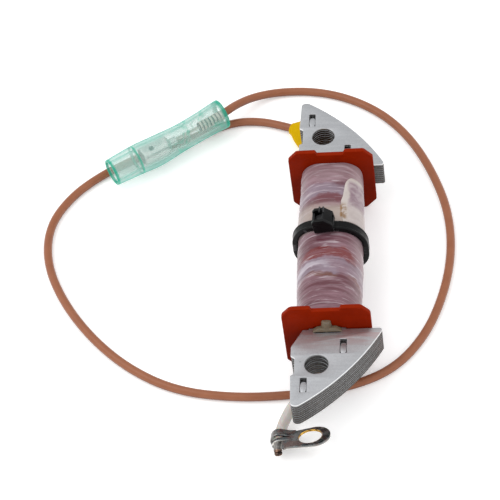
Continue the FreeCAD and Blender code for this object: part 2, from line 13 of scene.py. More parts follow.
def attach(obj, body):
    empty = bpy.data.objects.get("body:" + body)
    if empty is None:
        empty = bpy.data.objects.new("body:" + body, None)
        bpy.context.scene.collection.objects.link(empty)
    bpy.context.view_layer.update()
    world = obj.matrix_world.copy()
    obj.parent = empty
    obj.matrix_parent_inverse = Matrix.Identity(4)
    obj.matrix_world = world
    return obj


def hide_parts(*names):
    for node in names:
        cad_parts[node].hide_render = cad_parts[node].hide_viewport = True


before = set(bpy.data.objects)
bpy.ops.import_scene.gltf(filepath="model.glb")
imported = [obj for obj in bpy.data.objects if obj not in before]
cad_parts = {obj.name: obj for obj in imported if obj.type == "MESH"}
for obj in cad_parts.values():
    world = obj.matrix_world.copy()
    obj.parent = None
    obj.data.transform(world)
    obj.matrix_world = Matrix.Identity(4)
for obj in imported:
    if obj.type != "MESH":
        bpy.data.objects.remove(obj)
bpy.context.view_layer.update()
MM = 0.001
FLOOR_Z = -7.0


# ---- colour and material helpers ----
def srgb(*display):
    """Linear colour from 0-255 display values."""
    parts = [c / 255.0 for c in display]
    return (*(c / 12.92 if c <= 0.04045 else ((c + 0.055) / 1.055) ** 2.4 for c in parts), 1.0)


class Look:
    """A node material; positions are the row frame's, in millimetres."""

    def __init__(self, name, **settings):
        self.material = bpy.data.materials.new(name)
        self.material.use_nodes = True
        self.tree = self.material.node_tree
        self.shader = self.tree.nodes["Principled BSDF"]
        for key, value in settings.items():
            self.shader.inputs[key.replace("_", " ")].default_value = value
        coords = self.node("ShaderNodeTexCoord")
        self.mm = self.scaled(coords.outputs["Object"], 1000, 1000, 1000)
        split = self.node("ShaderNodeSeparateXYZ")
        self.wire(self.mm, split.inputs[0])
        self.x, self.y, self.z = split.outputs
        self.heights = None

    def node(self, kind, **values):
        made = self.tree.nodes.new(kind)
        for key, value in values.items():
            setattr(made, key, value)
        return made

    def wire(self, source, target):
        """Link a socket, or set a plain value."""
        if isinstance(source, bpy.types.NodeSocket):
            self.tree.links.new(source, target)
        else:
            target.default_value = source

    def scaled(self, vector, sx, sy, sz):
        mapping = self.node("ShaderNodeMapping")
        self.wire(vector, mapping.inputs["Vector"])
        mapping.inputs["Scale"].default_value = (sx, sy, sz)
        return mapping.outputs[0]

    def noise(self, scale, detail=3.0, roughness=0.55, stretch=(1, 1, 1), distortion=0.0, vector=None):
        tex = self.node("ShaderNodeTexNoise")
        self.wire(self.scaled(vector or self.mm, *stretch), tex.inputs["Vector"])
        for key, number in (("Scale", scale), ("Detail", detail), ("Roughness", roughness),
                            ("Distortion", distortion)):
            tex.inputs[key].default_value = number
        return tex.outputs["Fac"]

    def math(self, operation, a, b=0.0):
        made = self.node("ShaderNodeMath", operation=operation)
        self.wire(a, made.inputs[0])
        self.wire(b, made.inputs[1])
        return made.outputs[0]

    def vector_math(self, operation, a, b):
        made = self.node("ShaderNodeVectorMath", operation=operation)
        self.wire(a, made.inputs[0])
        self.wire(b, made.inputs[1])
        return made.outputs["Value"]

    def span(self, value, low, high, to_low=0.0, to_high=1.0, smooth=True):
        """Map a value from one range to another, held at both ends."""
        made = self.node("ShaderNodeMapRange")
        made.interpolation_type = "SMOOTHSTEP" if smooth else "LINEAR"
        self.wire(value, made.inputs["Value"])
        for key, number in (("From Min", low), ("From Max", high), ("To Min", to_low), ("To Max", to_high)):
            made.inputs[key].default_value = number
        return made.outputs["Result"]

    def window(self, value, low, high, soft):
        """1 between two values, falling to 0 over a soft margin outside them."""
        return self.math("MULTIPLY", self.span(value, low - soft, low), self.span(value, high + soft, high))

    def times(self, *factors):
        """Product of several values."""
        total = factors[0]
        for factor in factors[1:]:
            total = self.math("MULTIPLY", total, factor)
        return total

    def mix(self, fac, a, b):
        """Blend of two colours; a plain triple is a 0-255 display colour."""
        made = self.node("ShaderNodeMix", data_type="RGBA")
        self.wire(fac, made.inputs["Factor"])
        for source, target in ((a, made.inputs[6]), (b, made.inputs[7])):
            is_display = isinstance(source, tuple) and len(source) == 3
            self.wire(srgb(*source) if is_display else source, target)
        return made.outputs[2]

    def layers(self, colour, *over):
        """Colours laid over one another; each names its colour, then values whose product is its share."""
        for paint, *factors in over:
            colour = self.mix(self.times(*factors), colour, paint)
        return colour

    def most(self, *values):
        """Largest of several values."""
        top = values[0]
        for value in values[1:]:
            top = self.math("MAXIMUM", top, value)
        return top

    def distance(self, point):
        """Distance from a point."""
        return self.vector_math("DISTANCE", self.mm, point)

    def along(self, way, start):
        """Distance from a point along a direction."""
        return self.math("SUBTRACT", self.vector_math("DOT_PRODUCT", self.mm, way), start.dot(way))

    def normal(self):
        """Direction that the surface faces."""
        return self.node("ShaderNodeNewGeometry").outputs["Normal"]

    def normal_xyz(self):
        split = self.node("ShaderNodeSeparateXYZ")
        self.wire(self.normal(), split.inputs[0])
        return split.outputs

    def color(self, source):
        self.wire(source, self.shader.inputs["Base Color"])

    def rough(self, source):
        self.wire(source, self.shader.inputs["Roughness"])

    def bump(self, height, strength, distance_mm):
        made = self.node("ShaderNodeBump")
        made.inputs["Strength"].default_value = strength
        made.inputs["Distance"].default_value = distance_mm * MM
        self.wire(height, made.inputs["Height"])
        if self.heights is not None:
            self.wire(self.heights, made.inputs["Normal"])
        self.heights = made.outputs[0]
        self.wire(self.heights, self.shader.inputs["Normal"])


# ---- mesh helpers ----
def link(name, data):
    """New object in the scene."""
    made = bpy.data.objects.new(name, data)
    bpy.context.scene.collection.objects.link(made)
    return made


def make_object(name, verts, faces, smooth_angle=35.0, cut=None):
    """Mesh object from points in millimetres; cut is a last change to its bmesh."""
    mesh = bpy.data.meshes.new(name)
    mesh.from_pydata([Vector(v) * MM for v in verts], [], faces)
    mesh.validate()
    shape = bmesh.new()
    shape.from_mesh(mesh)
    bmesh.ops.recalc_face_normals(shape, faces=shape.faces)
    if cut is not None:
        cut(shape)
    shape.to_mesh(mesh)
    shape.free()
    mesh.shade_smooth()
    mesh.set_sharp_from_angle(angle=math.radians(smooth_angle))
    return link(name, mesh)


def settle(piece, look, node):
    """Give a piece its material, its body and the CAD node it stands for."""
    piece.data.materials.clear()
    piece.data.materials.append(look.material)
    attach(piece, "root")
    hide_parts(node)


def grid_faces(rows, columns, closed_columns=True, closed_rows=False):
    """Quads of a grid, which may close on itself either way."""
    faces = []
    for j in range(rows if closed_rows else rows - 1):
        n = (j + 1) % rows
        for i in range(columns if closed_columns else columns - 1):
            k = (i + 1) % columns
            faces.append((j * columns + i, j * columns + k, n * columns + k, n * columns + i))
    return faces


def sheet_of_two_skins(verts, rows, columns):
    """Thin closed patch from its upper grid of points followed by its lower one."""
    faces = grid_faces(rows, columns, closed_columns=False)
    base = rows * columns
    faces += [tuple(base + i for i in reversed(f)) for f in faces]
    rim = (list(range(columns)) + [j * columns + columns - 1 for j in range(1, rows)]
           + [(rows - 1) * columns + i for i in range(columns - 2, -1, -1)]
           + [j * columns for j in range(rows - 2, 0, -1)])
    for a, b in zip(rim, rim[1:] + rim[:1]):
        faces.append((a, b, base + b, base + a))
    return verts, faces


def skin(rings):
    """Vertices and faces of a capped tube through rings of equal length."""
    count = len(rings[0])
    verts = [p for ring in rings for p in ring]
    faces = grid_faces(len(rings), count)
    faces.append(tuple(range(count)))
    faces.append(tuple(len(verts) - count + i for i in reversed(range(count))))
    return verts, faces


def closed_loop(rings):
    """Vertices and faces of a tube whose last ring joins its first."""
    return [p for ring in rings for p in ring], grid_faces(len(rings), len(rings[0]), closed_rows=True)


def turns_of(count):
    """Angles of evenly spread points round a full turn."""
    return [2 * math.pi * i / count for i in range(count)]


def ring_about(centre, side, up, r, count):
    """Circle of points about a place, in the plane of two directions."""
    return [tuple(centre + (side * math.cos(a) + up * math.sin(a)) * r) for a in turns_of(count)]


def lathe(profile, steps):
    """Closed outline of (radius, distance) turned about Z; distance runs along Z."""
    return closed_loop([[(r * math.cos(a), r * math.sin(a), s) for a in turns_of(steps)] for r, s in profile])


def smooth_line(points, count):
    """Points spread along a smooth line through the given 2D or 3D points (Catmull-Rom)."""
    points = [Vector(p) for p in points]
    ends = [points[0] * 2 - points[1]] + points + [points[-1] * 2 - points[-2]]
    out = []
    for j in range(count):
        t = j / (count - 1) * (len(points) - 1)
        k = min(int(t), len(points) - 2)
        f = t - k
        a, b, c, d = ends[k:k + 4]
        out.append(0.5 * ((2 * b) + (c - a) * f + (2 * a - 5 * b + 4 * c - d) * f ** 2
                          + (3 * b - a - 3 * c + d) * f ** 3))
    return out


def plate(outlines, z0, z1, edge, segments=2):
    """Sheet with rounded edges, from an outline and its holes; returns vertices and faces."""
    curve = bpy.data.curves.new("plate", "CURVE")
    curve.dimensions = "2D"
    curve.fill_mode = "BOTH"
    curve.extrude = (z1 - z0) / 2 - edge
    curve.bevel_depth = edge
    curve.bevel_resolution = segments
    curve.offset = -edge
    for outline in outlines:
        spline = curve.splines.new("POLY")
        spline.points.add(len(outline) - 1)
        for point, (x, y) in zip(spline.points, outline):
            point.co = (x, y, 0, 1)
        spline.use_cyclic_u = True
    holder = bpy.data.objects.new("plate", curve)
    mesh = bpy.data.meshes.new_from_object(holder)
    shape = bmesh.new()
    shape.from_mesh(mesh)
    bmesh.ops.remove_doubles(shape, verts=shape.verts, dist=1e-4)
    shape.verts.ensure_lookup_table()
    lift = (z0 + z1) / 2
    verts = [(v.co.x, v.co.y, v.co.z + lift) for v in shape.verts]
    faces = [tuple(v.index for v in f.verts) for f in shape.faces]
    shape.free()
    bpy.data.objects.remove(holder)
    bpy.data.curves.remove(curve)
    bpy.data.meshes.remove(mesh)
    return verts, faces


def rounded(corners, steps):
    """Outline of (x, y, radius) corners, each replaced by an arc (radius 0 keeps it sharp)."""
    out = []
    count = len(corners)
    for k, (x, y, radius) in enumerate(corners):
        at = Vector((x, y))
        before = Vector(corners[k - 1][:2]) - at
        after = Vector(corners[(k + 1) % count][:2]) - at
        if radius <= 0:
            out.append(tuple(at))
            continue
        half = before.angle(after) / 2
        setback = min(radius / math.tan(half), 0.48 * before.length, 0.48 * after.length)
        radius = setback * math.tan(half)
        before.normalize()
        after.normalize()
        centre = at + (before + after).normalized() * math.hypot(radius, setback)
        start, end = at + before * setback - centre, at + after * setback - centre
        turn = start.angle_signed(end)
        for j in range(steps + 1):
            a = -turn * j / steps
            out.append((centre.x + start.x * math.cos(a) - start.y * math.sin(a),
                        centre.y + start.x * math.sin(a) + start.y * math.cos(a)))
    return out


def box(x0, y0, x1, y1):
    """Corners of a rectangle."""
    return [(x0, y0), (x1, y0), (x1, y1), (x0, y1)]


def circle(cx, cy, r, count=56):
    """Round outline."""
    return [(cx + r * math.cos(a), cy + r * math.sin(a)) for a in turns_of(count)]


def heading(path, j):
    """Direction of a line of points at one of them."""
    return (path[min(j + 1, len(path) - 1)] - path[max(j - 1, 0)]).normalized()


def placed(part, matrix):
    """Move the vertices of a (vertices, faces) pair."""
    verts, faces = part
    return [tuple(matrix @ Vector(v)) for v in verts], faces


def upright(outlines, y0, y1, edge, segments=2):
    """Sheet that stands across the coil between two values of y; its outlines are (x, z)."""
    verts, faces = plate(outlines, y0, y1, edge, segments)
    return [(x, y, z) for x, z, y in verts], faces


def joined(*parts):
    """Several (vertices, faces) pairs as one."""
    verts, faces = [], []
    for some_verts, some_faces in parts:
        base = len(verts)
        verts += some_verts
        faces += [tuple(base + i for i in face) for face in some_faces]
    return verts, faces


def jitter(*values):
    """Repeatable noise in -1..1 at a point."""
    return noise.noise(Vector(values))


# ---- camera and floor ----
camera = link("camera", bpy.data.cameras.new("camera"))
camera.data.lens = 172.84
camera.data.sensor_width = 36.0
camera.data.clip_start = 0.01
camera.data.clip_end = 10.0
look_right = Vector((0.99345, 0.04212, -0.10624))
look_ahead = Vector((-0.10791, 0.65187, -0.75061))
look_up = look_right.cross(look_ahead)
camera.matrix_world = Matrix.Translation(Vector((45.211, -375.097, 438.296)) * MM) @ Matrix(
    (look_right, look_up, -look_ahead)).transposed().to_4x4()
bpy.context.scene.camera = camera
bpy.context.scene.view_settings.view_transform = "Standard"

floor_mesh = bpy.data.meshes.new("floor")
FLOOR_HALF_W = 1.5          # metres
corners = box(-FLOOR_HALF_W, -FLOOR_HALF_W, FLOOR_HALF_W, FLOOR_HALF_W)
floor_mesh.from_pydata([(x, y, FLOOR_Z * MM) for x, y in corners], [], [(0, 1, 2, 3)])
floor = link("floor", floor_mesh)
floor_look = Look("floor", Roughness=0.9, Specular_IOR_Level=0.1, Emission_Strength=0.28)
floor_look.shader.inputs["Emission Color"].default_value = (1.0, 1.0, 1.0, 1.0)
floor_look.color((0.93, 0.93, 0.93, 1.0))
floor_mesh.materials.append(floor_look.material)

world = bpy.data.worlds.new("studio")
world.use_nodes = True
backdrop = world.node_tree.nodes["Background"].inputs
backdrop["Color"].default_value = (1.0, 1.0, 1.0, 1.0)
backdrop["Strength"].default_value = 0.82
bpy.context.scene.world = world


def area_light(name, location, power):
    """Soft square light aimed at the origin; its place is in metres."""
    data = bpy.data.lights.new(name, "AREA")
    data.size = 0.8
    data.energy = power
    lamp = link(name, data)
    lamp.location = location
    lamp.rotation_mode = "QUATERNION"
    lamp.rotation_quaternion = (-Vector(location)).to_track_quat("-Z", "Y")


area_light("key", (-0.55, -0.05, 0.80), 3.6)
area_light("fill", (0.55, -0.15, 0.65), 1.2)


# ---- cords ----
LEAD_D, GROUND_D = 2.1, 2.6
LEAD_Z = FLOOR_Z + LEAD_D / 2
MOUTH = Vector((-54.52, 34.73, FLOOR_Z + 5.19))
SLEEVE_END = Vector((-27.0, 52.7, FLOOR_Z + 6.0))
AXIS = (SLEEVE_END - MOUTH).normalized()
LEAD_END_S = 26.8

# the lead's long run on the floor
LEAD_LOOP = [
    (-12.4, 65.0), (-3.0, 64.4), (6.0, 61.0), (14.4, 54.8), (21.2, 45.8), (26.4, 34.4), (30.2, 21.4),
    (31.0, 8.0), (29.0, -5.2), (24.6, -17.8), (17.2, -27.8), (6.6, -32.9), (-7.0, -34.8), (-21.0, -34.9),
    (-34.8, -32.2), (-46.4, -25.2), (-56.2, -15.4), (-64.2, -3.6), (-69.4, 9.0), (-69.9, 21.2), (-65.2, 30.8),
    (-58.2, 37.7), (-51.0, 42.2), (-44.0, 46.2), (-36.2, 49.2), (-30.2, 52.2), (-24.0, 54.7), (-17.8, 54.5),
]
LEAD_ROUTE = [
    tuple(MOUTH + AXIS * LEAD_END_S), (-26.7, 53.2, -0.95), (-23.9, 57.5, -2.4), (-19.5, 62.4, -4.7),
    *((x, y, LEAD_Z) for x, y in LEAD_LOOP), (-12.6, 52.8, FLOOR_Z + 1.15), (-8.2, 50.7, FLOOR_Z + 1.4),
]
GROUND_ROUTE = [
    (0.8, -21.0, -4.6), (0.7, -25.2, -4.6), (0.0, -30.0, -3.0), (-2.0, -34.8, -1.9), (-5.2, -38.9, -2.3),
    (-7.7, -42.1, -4.2), (-9.2, -45.3, -5.66), (-9.48, -49.0, -4.98),
]


def cord_curve(name, route, diameter):
    """Round cord on a smooth line guided by the route's points."""
    curve = bpy.data.curves.new(name, "CURVE")
    curve.dimensions = "3D"
    spline = curve.splines.new("NURBS")
    spline.points.add(len(route) - 1)
    for point, place in zip(spline.points, route):
        point.co = (*(Vector(place) * MM), 1.0)
    spline.order_u = 3
    spline.use_endpoint_u = True
    spline.resolution_u = 10
    curve.bevel_depth = diameter / 2 * MM
    curve.bevel_resolution = 7
    curve.use_fill_caps = True
    return link(name, curve)


lead = cord_curve("brown_lead", LEAD_ROUTE, LEAD_D)
ground = cord_curve("ground_sleeving", GROUND_ROUTE, GROUND_D)

brown = Look("lead_insulation", Roughness=0.4, Specular_IOR_Level=0.35)
insulation = brown.mix(brown.noise(0.35, 4.0, 0.6), (138, 82, 54), (158, 100, 70))
# painted shade: the lead's downward-facing side is coloured darker
painted_underside_shade = brown.span(brown.normal_xyz()[2], 0.35, -0.35, 0.0, 0.75)
brown.color(brown.mix(painted_underside_shade, insulation, (104, 56, 34)))
brown.bump(brown.noise(2.2, 3.0), 0.12, 0.05)
settle(lead, brown, "output_lead")

milky = Look("milky_sleeving", Roughness=0.35, Specular_IOR_Level=0.5, Subsurface_Weight=0.4,
             Subsurface_Scale=0.001, Alpha=0.92)
milky.color(milky.mix(milky.noise(0.9, 4.0, 0.6), (186, 178, 170), (214, 210, 204)))
milky.bump(milky.noise(3.0, 3.0), 0.15, 0.05)
settle(ground, milky, "ground_lead")


# ---- core sheets ----
SHEETS, SHEET_T, SHEET_GAP = 10, 0.7, 0.06
STACK_TOP = SHEETS * SHEET_T
HOLE_Y, HOLE_R, STAIN_R = 35.85, 2.8, 2.75
POLE_IN_Y, POLE_TIP_Y, POLE_LEFT, NICK_X = 25.7, 47.7, -6.0, -5.1
POLE_R, POLE_CX = 57.2, -35.7
BAR_LEFT, BAR_RIGHT = -2.0, 6.6
TAB_XY = ((6.1, 30.7), (-2.9, 41.7))
TAB_W, TAB_L = 1.6, 4.2


def pole_x(y):
    """Pole face at a given distance along the coil."""
    return POLE_CX + math.sqrt(POLE_R ** 2 - y ** 2)


def sheet_outline():
    """Outline of one core sheet: a bar with a curved pole at each end."""
    steps = 12
    ring = [(BAR_RIGHT, POLE_IN_Y, 0.3), (pole_x(POLE_IN_Y), POLE_IN_Y, 1.0)]
    for k in range(1, steps):
        y = POLE_IN_Y + (POLE_TIP_Y - POLE_IN_Y) * k / steps
        ring.append((pole_x(y), y, 0))
    ring += [(pole_x(POLE_TIP_Y), POLE_TIP_Y, 1.5), (-5.7, 47.4, 1.0), (POLE_LEFT, 39.0, 0.25),
             (NICK_X, 38.4, 0.25), (NICK_X, 33.9, 0.25), (POLE_LEFT, 33.3, 0.25), (POLE_LEFT, 30.6, 0.3),
             (-3.4, POLE_IN_Y, 0.3), (BAR_LEFT, POLE_IN_Y, 0.2)]
    ring += [(x, -y, r) for x, y, r in reversed(ring)]
    return rounded(ring, 5)


def interlock_tab(x, y, top):
    """Lanced tongue: flush at its near end, rounded, dropping into the sheet below at its far end."""
    rows, columns = 12, 7
    y0, y1 = y - TAB_L / 2 + 0.05, y + TAB_L / 2 - 0.95
    upper = []
    for j in range(rows):
        t = j / (rows - 1)
        half = (TAB_W / 2 - 0.09) * (1 - 0.35 * abs(2 * t - 1) ** 3)
        for i in range(columns):
            u = 2 * i / (columns - 1) - 1
            drop = 0.10 * u * u + 0.5 * t ** 2.2 + 0.12 * (1 - t) ** 4
            upper.append((x + half * u, y0 + (y1 - y0) * t, top - drop))
    lower = [(a, b, c - SHEET_T + 0.04) for a, b, c in upper]
    return sheet_of_two_skins(upper + lower, rows, columns)


def slot_outline(x, y):
    """Slot left by a lanced tongue."""
    w, half = TAB_W / 2, TAB_L / 2
    return rounded([(*corner, 0.12) for corner in box(x - w, y - half, x + w, y + half)], 2)


steel = Look("core_steel", Metallic=1.0)
flatness = steel.span(steel.math("ABSOLUTE", steel.normal_xyz()[2]), 0.45, 0.9)
grain = steel.noise(4.5, 4.0, 0.7)
rolling = steel.noise(0.8, 4.0, 0.6, stretch=(0.25, 2.0, 1.0))
face_colour = steel.layers(
    steel.mix(steel.noise(0.12, 3.0, 0.5), (188, 190, 193), (206, 208, 211)),
    ((176, 178, 182), steel.span(rolling, 0.35, 0.65, 0.0, 0.35)),
    ((150, 152, 156), steel.span(grain, 0.42, 0.62, 0.3, 0.0)),
    # dark specks
    ((112, 112, 114), steel.span(steel.noise(1.7, 2.0, 0.8), 0.70, 0.75, 0.0, 0.8)),
    # a faint red cast beside the near flange
    ((196, 158, 156), steel.span(steel.y, -33.0, -26.5), steel.span(steel.y, -24.0, -25.6),
     steel.span(rolling, 0.35, 0.65), 0.6))
sheared = steel.noise(1.0, 5.0, 0.7, stretch=(3.0, 3.0, 0.35))
layer = steel.math("FRACT", steel.math("DIVIDE", steel.z, SHEET_T))
# side faces of the stack: sheared steel tone, darkened as painted shade where they turn from the light
edge_colour_and_painted_light = steel.layers(
    steel.mix(steel.span(sheared, 0.25, 0.75), (84, 80, 76), (128, 124, 120)),
    # a little rust
    ((96, 80, 66), steel.span(steel.noise(0.22, 3.0, 0.6), 0.60, 0.72, 0.0, 0.4)),
    # dark joints between the sheets
    ((22, 20, 19), steel.span(steel.math("ABSOLUTE", steel.math("SUBTRACT", layer, 0.5)), 0.12, 0.34)),
    # painted highlight along the rim of the top sheet
    ((236, 237, 238), steel.window(steel.z, STACK_TOP - 0.38, STACK_TOP + 0.1, 0.05)),
    # brown stain in the far hole
    ((54, 32, 14), steel.window(steel.y, HOLE_Y - STAIN_R, HOLE_Y + STAIN_R, 0.1),
     steel.window(steel.x, -STAIN_R, STAIN_R, 0.1), steel.span(steel.z, STACK_TOP - 0.2, STACK_TOP - 0.7)))
steel.color(steel.mix(flatness, edge_colour_and_painted_light, face_colour))
steel.rough(steel.mix(flatness, (0.55, 0.55, 0.55, 1), steel.span(grain, 0.3, 0.7, 0.46, 0.58)))
steel.bump(steel.noise(6.0, 3.0, 0.7), 0.2, 0.02)
steel.bump(sheared, 0.25, 0.05)

for k in range(SHEETS):
    shift = Matrix.Translation((0.035 * jitter(k * 1.7, 3.1, 0.2), 0.05 * jitter(k * 2.3, 7.7, 1.2), 0))
    z0, z1 = k * SHEET_T + SHEET_GAP / 2, (k + 1) * SHEET_T - SHEET_GAP / 2
    holes = []
    for side in (1, -1):
        off_x, off_y = 0.05 * jitter(k * 3.3, side, 5.5), 0.05 * jitter(k * 4.1, side, 9.5)
        holes.append(circle(off_x, side * HOLE_Y + off_y, HOLE_R))
        holes += [slot_outline(x, side * y) for x, y in TAB_XY]
    parts = [plate([sheet_outline()] + holes, z0, z1, 0.11)]
    if k > 0:
        parts += [interlock_tab(x, side * y, z1) for side in (1, -1) for x, y in TAB_XY]
    sheet = make_object("sheet_%02d" % (k + 1), *placed(joined(*parts), shift))
    settle(sheet, steel, "lamination_%02d" % (k + 1))


# ---- bobbin ----
BAR_CX = 2.3
FLANGE_OUT_Y, FLANGE_T, FLANGE_CZ = 25.5, 1.2, 3.2
FLANGE_HALF_W, FLANGE_HALF_H, NEAR_RISE = 10.35, 10.2, 0.8
NOTCH_D, NOTCH_HALF_W = 0.95, 3.6
SLOT_X0, SLOT_X1, SLOT_TOP = -1.15, 2.75, -2.8
WEDGE_HALF_W = 3.1
BORE = (-2.1, 6.7, -0.1, 7.45)
BOBBIN_WALL = 0.7


def flange_outline(rise):
    """Flange seen along the coil, as (x, z): clipped corners, a notch top and bottom, a lead slot below."""
    w, n = FLANGE_HALF_W, NOTCH_HALF_W
    low, high = FLANGE_CZ - FLANGE_HALF_H, FLANGE_CZ + FLANGE_HALF_H + rise
    soft = 0.9 + rise
    ring = [
        (BAR_CX + n, low, 0.2), (BAR_CX + w - 2.6, low, 1.0), (BAR_CX + w, low + 2.9, 1.0),
        (BAR_CX + w, high - 2.4, soft), (BAR_CX + w - 2.1, high, soft), (BAR_CX + n, high, 0.25),
        (BAR_CX + n - 0.4, high - NOTCH_D, 0.25), (BAR_CX - n + 0.4, high - NOTCH_D, 0.25),
        (BAR_CX - n, high, 0.25), (BAR_CX - w + 2.1, high, soft), (BAR_CX - w, high - 2.4, soft),
        (BAR_CX - w, low + 2.9, 1.0), (BAR_CX - w + 2.6, low, 1.0), (SLOT_X0 - 0.15, low, 0.1),
        (SLOT_X0, low + 0.4, 0.1), (SLOT_X0, SLOT_TOP, 0.3), (SLOT_X1, SLOT_TOP, 0.3),
        (SLOT_X1, low + 1.0, 0.1), (BAR_CX + n - 0.4, low + 1.0, 0.2)]
    return rounded(ring, 6)


def split_at_middle(keep_upper):
    """Cut that keeps the bobbin on one side of mid height and closes it there."""
    def cut(shape):
        made = bmesh.ops.bisect_plane(shape, geom=shape.verts[:] + shape.edges[:] + shape.faces[:],
                                      plane_co=(0, 0, STACK_TOP / 2 * MM), plane_no=(0, 0, 1),
                                      clear_inner=keep_upper, clear_outer=not keep_upper)
        rim = [e for e in made["geom_cut"] if isinstance(e, bmesh.types.BMEdge)]
        bmesh.ops.triangle_fill(shape, edges=rim, use_beauty=True)
    return cut


def bobbin_parts():
    """Both flanges and the square tube between them."""
    x0, x1, z0, z1 = BORE
    low_top, room = STACK_TOP + 0.08, WEDGE_HALF_W
    window = [(x0, z0), (x1, z0), (x1, low_top), (BAR_CX + room, low_top), (BAR_CX + room, z1),
              (BAR_CX - room, z1), (BAR_CX - room, low_top), (x0, low_top)]
    flanges = [upright([flange_outline(rise), window], y, y + FLANGE_T, 0.22, 3)
               for rise, y in ((0.0, FLANGE_OUT_Y - FLANGE_T), (NEAR_RISE, -FLANGE_OUT_Y))]
    reach = FLANGE_OUT_Y - FLANGE_T + 0.3
    w = BOBBIN_WALL
    outer, inner = [], []
    for y in (-reach, reach):
        outer.append([(x0 - w, y, z0 - w), (x1 + w, y, z0 - w), (x1 + w, y, z1 + w), (x0 - w, y, z1 + w)])
        inner.append([(x0, y, z0), (x1, y, z0), (x1, y, z1), (x0, y, z1)])
    return joined(*flanges, closed_loop(outer + inner[::-1]))


red = Look("bobbin_red", Specular_IOR_Level=0.03)
swirl = red.noise(0.22, 4.0, 0.6, stretch=(1, 3, 1), distortion=1.0)
# rims whose faces turn across the coil; they get a painted highlight in the colour below
on_edge = red.span(red.math("ABSOLUTE", red.normal_xyz()[1]), 0.9, 0.45)
# painted glints: small bright orange spots along the rims
painted_edge_glints = red.span(red.noise(1.4, 5.0, 0.7, distortion=0.8), 0.62, 0.72, 0.0, 0.4)
red.color(red.layers(
    red.mix(swirl, (110, 20, 0), (144, 32, 0)),
    # painted shade: darker towards the bottom of the bobbin
    ((70, 8, 0), red.span(red.z, 11.0, 1.0, 0.0, 0.45)),
    ((142, 38, 10), on_edge, 0.5), ((196, 84, 40), painted_edge_glints, on_edge)))
red.rough(red.span(red.noise(1.2, 4.0, 0.6), 0.3, 0.7, 0.34, 0.5))
red.bump(red.noise(0.7, 3.0, 0.5), 0.15, 0.1)
red.bump(red.noise(6.0, 2.0, 0.5), 0.1, 0.02)
moulding = bobbin_parts()
for half in ("upper", "lower"):
    piece = make_object("bobbin_" + half, *moulding, smooth_angle=28, cut=split_at_middle(half == "upper"))
    settle(piece, red, "bobbin_%s_half" % half)


# ---- winding ----
WIND_W, WIND_H, WIND_R, WIND_CZ, WIND_Y = 15.7, 13.0, 5.4, 3.6, 24.2
TAPE_T, LAP_PITCH, TAPE_ROWS, TAPE_COLUMNS = 0.55, 2.9, 300, 180
TIE_Y, TIE_SLANT = 2.9, math.radians(-6.0)


def rounded_ring(w, h, r, count):
    """Evenly spread points of a rounded rectangle about the winding's axis: (x, z, outward x, outward z)."""
    dense = []
    for k, (side_x, side_z) in enumerate(((1, -1), (1, 1), (-1, 1), (-1, -1))):
        for j in range(25):
            a = (k - 1 + j / 24) * math.pi / 2
            dense.append((side_x * (w / 2 - r) + r * math.cos(a), side_z * (h / 2 - r) + r * math.sin(a), a))
    x, z, a = dense[0]
    dense.append((x, z, a + 2 * math.pi))
    marks = [0.0]
    for p, q in zip(dense, dense[1:]):
        marks.append(marks[-1] + math.hypot(q[0] - p[0], q[1] - p[1]))
    out, k = [], 0
    for i in range(count):
        s = marks[-1] * i / count
        while marks[k + 1] < s:
            k += 1
        f = (s - marks[k]) / max(marks[k + 1] - marks[k], 1e-9)
        x, z, a = (p + (q - p) * f for p, q in zip(dense[k], dense[k + 1]))
        out.append((BAR_CX + x, WIND_CZ + z, math.cos(a), math.sin(a)))
    return out


SWELL = ((-24.3, -0.42), (-20, -0.38), (-16, -0.30), (-11, -0.16), (-6, -0.05), (-1.5, -0.02), (1.0, -0.12),
         (2.9, -0.05), (4.6, 0.24), (8, 0.12), (13, -0.08), (18, -0.22), (22, -0.30), (24.3, -0.36))


def swell(y):
    """How far the taped winding stands out from its nominal section at a place along the coil."""
    for (y0, a), (y1, b) in zip(SWELL, SWELL[1:]):
        if y <= y1:
            t = max(0.0, (y - y0) / (y1 - y0))
            t = t * t * (3 - 2 * t)
            return a + (b - a) * t
    return SWELL[-1][1]


def tape_relief(x, y, z, turn):
    """Overlapping turns of soft tape with small creases that run round the coil."""
    lap = (y + 0.9 * math.sin(turn) + 0.45 * turn) / LAP_PITCH
    lap -= math.floor(lap)
    step = 0.055 * (min(lap * 9, 1.0) - lap)
    crease = 0.055 * jitter(x * 0.16, y * 1.15, z * 0.16) + 0.030 * jitter(x * 0.35, y * 2.6, z * 0.35)
    sag = 0.10 * jitter(x * 0.10 + 5, y * 0.22, z * 0.10)
    return step + crease + sag


def tape_point(ring_point, y, lift=0.0):
    """Point on the tape's surface."""
    x, z, nx, nz = ring_point
    turn = math.atan2(z - WIND_CZ, x - BAR_CX)
    out = swell(y) + tape_relief(x, y, z, turn) + lift
    return (x + nx * out, y, z + nz * out)


section = rounded_ring(WIND_W, WIND_H, WIND_R, TAPE_COLUMNS)
inside = rounded_ring(WIND_W - 2 * TAPE_T, WIND_H - 2 * TAPE_T, WIND_R - TAPE_T, TAPE_COLUMNS)
lengths = [-WIND_Y + 2 * WIND_Y * j / TAPE_ROWS for j in range(TAPE_ROWS + 1)]
tape_outer = [[tape_point(p, y) for p in section] for y in lengths]
tape_inner = [[(x, y, z) for x, z, _, _ in inside] for y in lengths[::25]]
tape = make_object("wound_tape", *closed_loop(tape_outer + tape_inner[::-1]), smooth_angle=60)

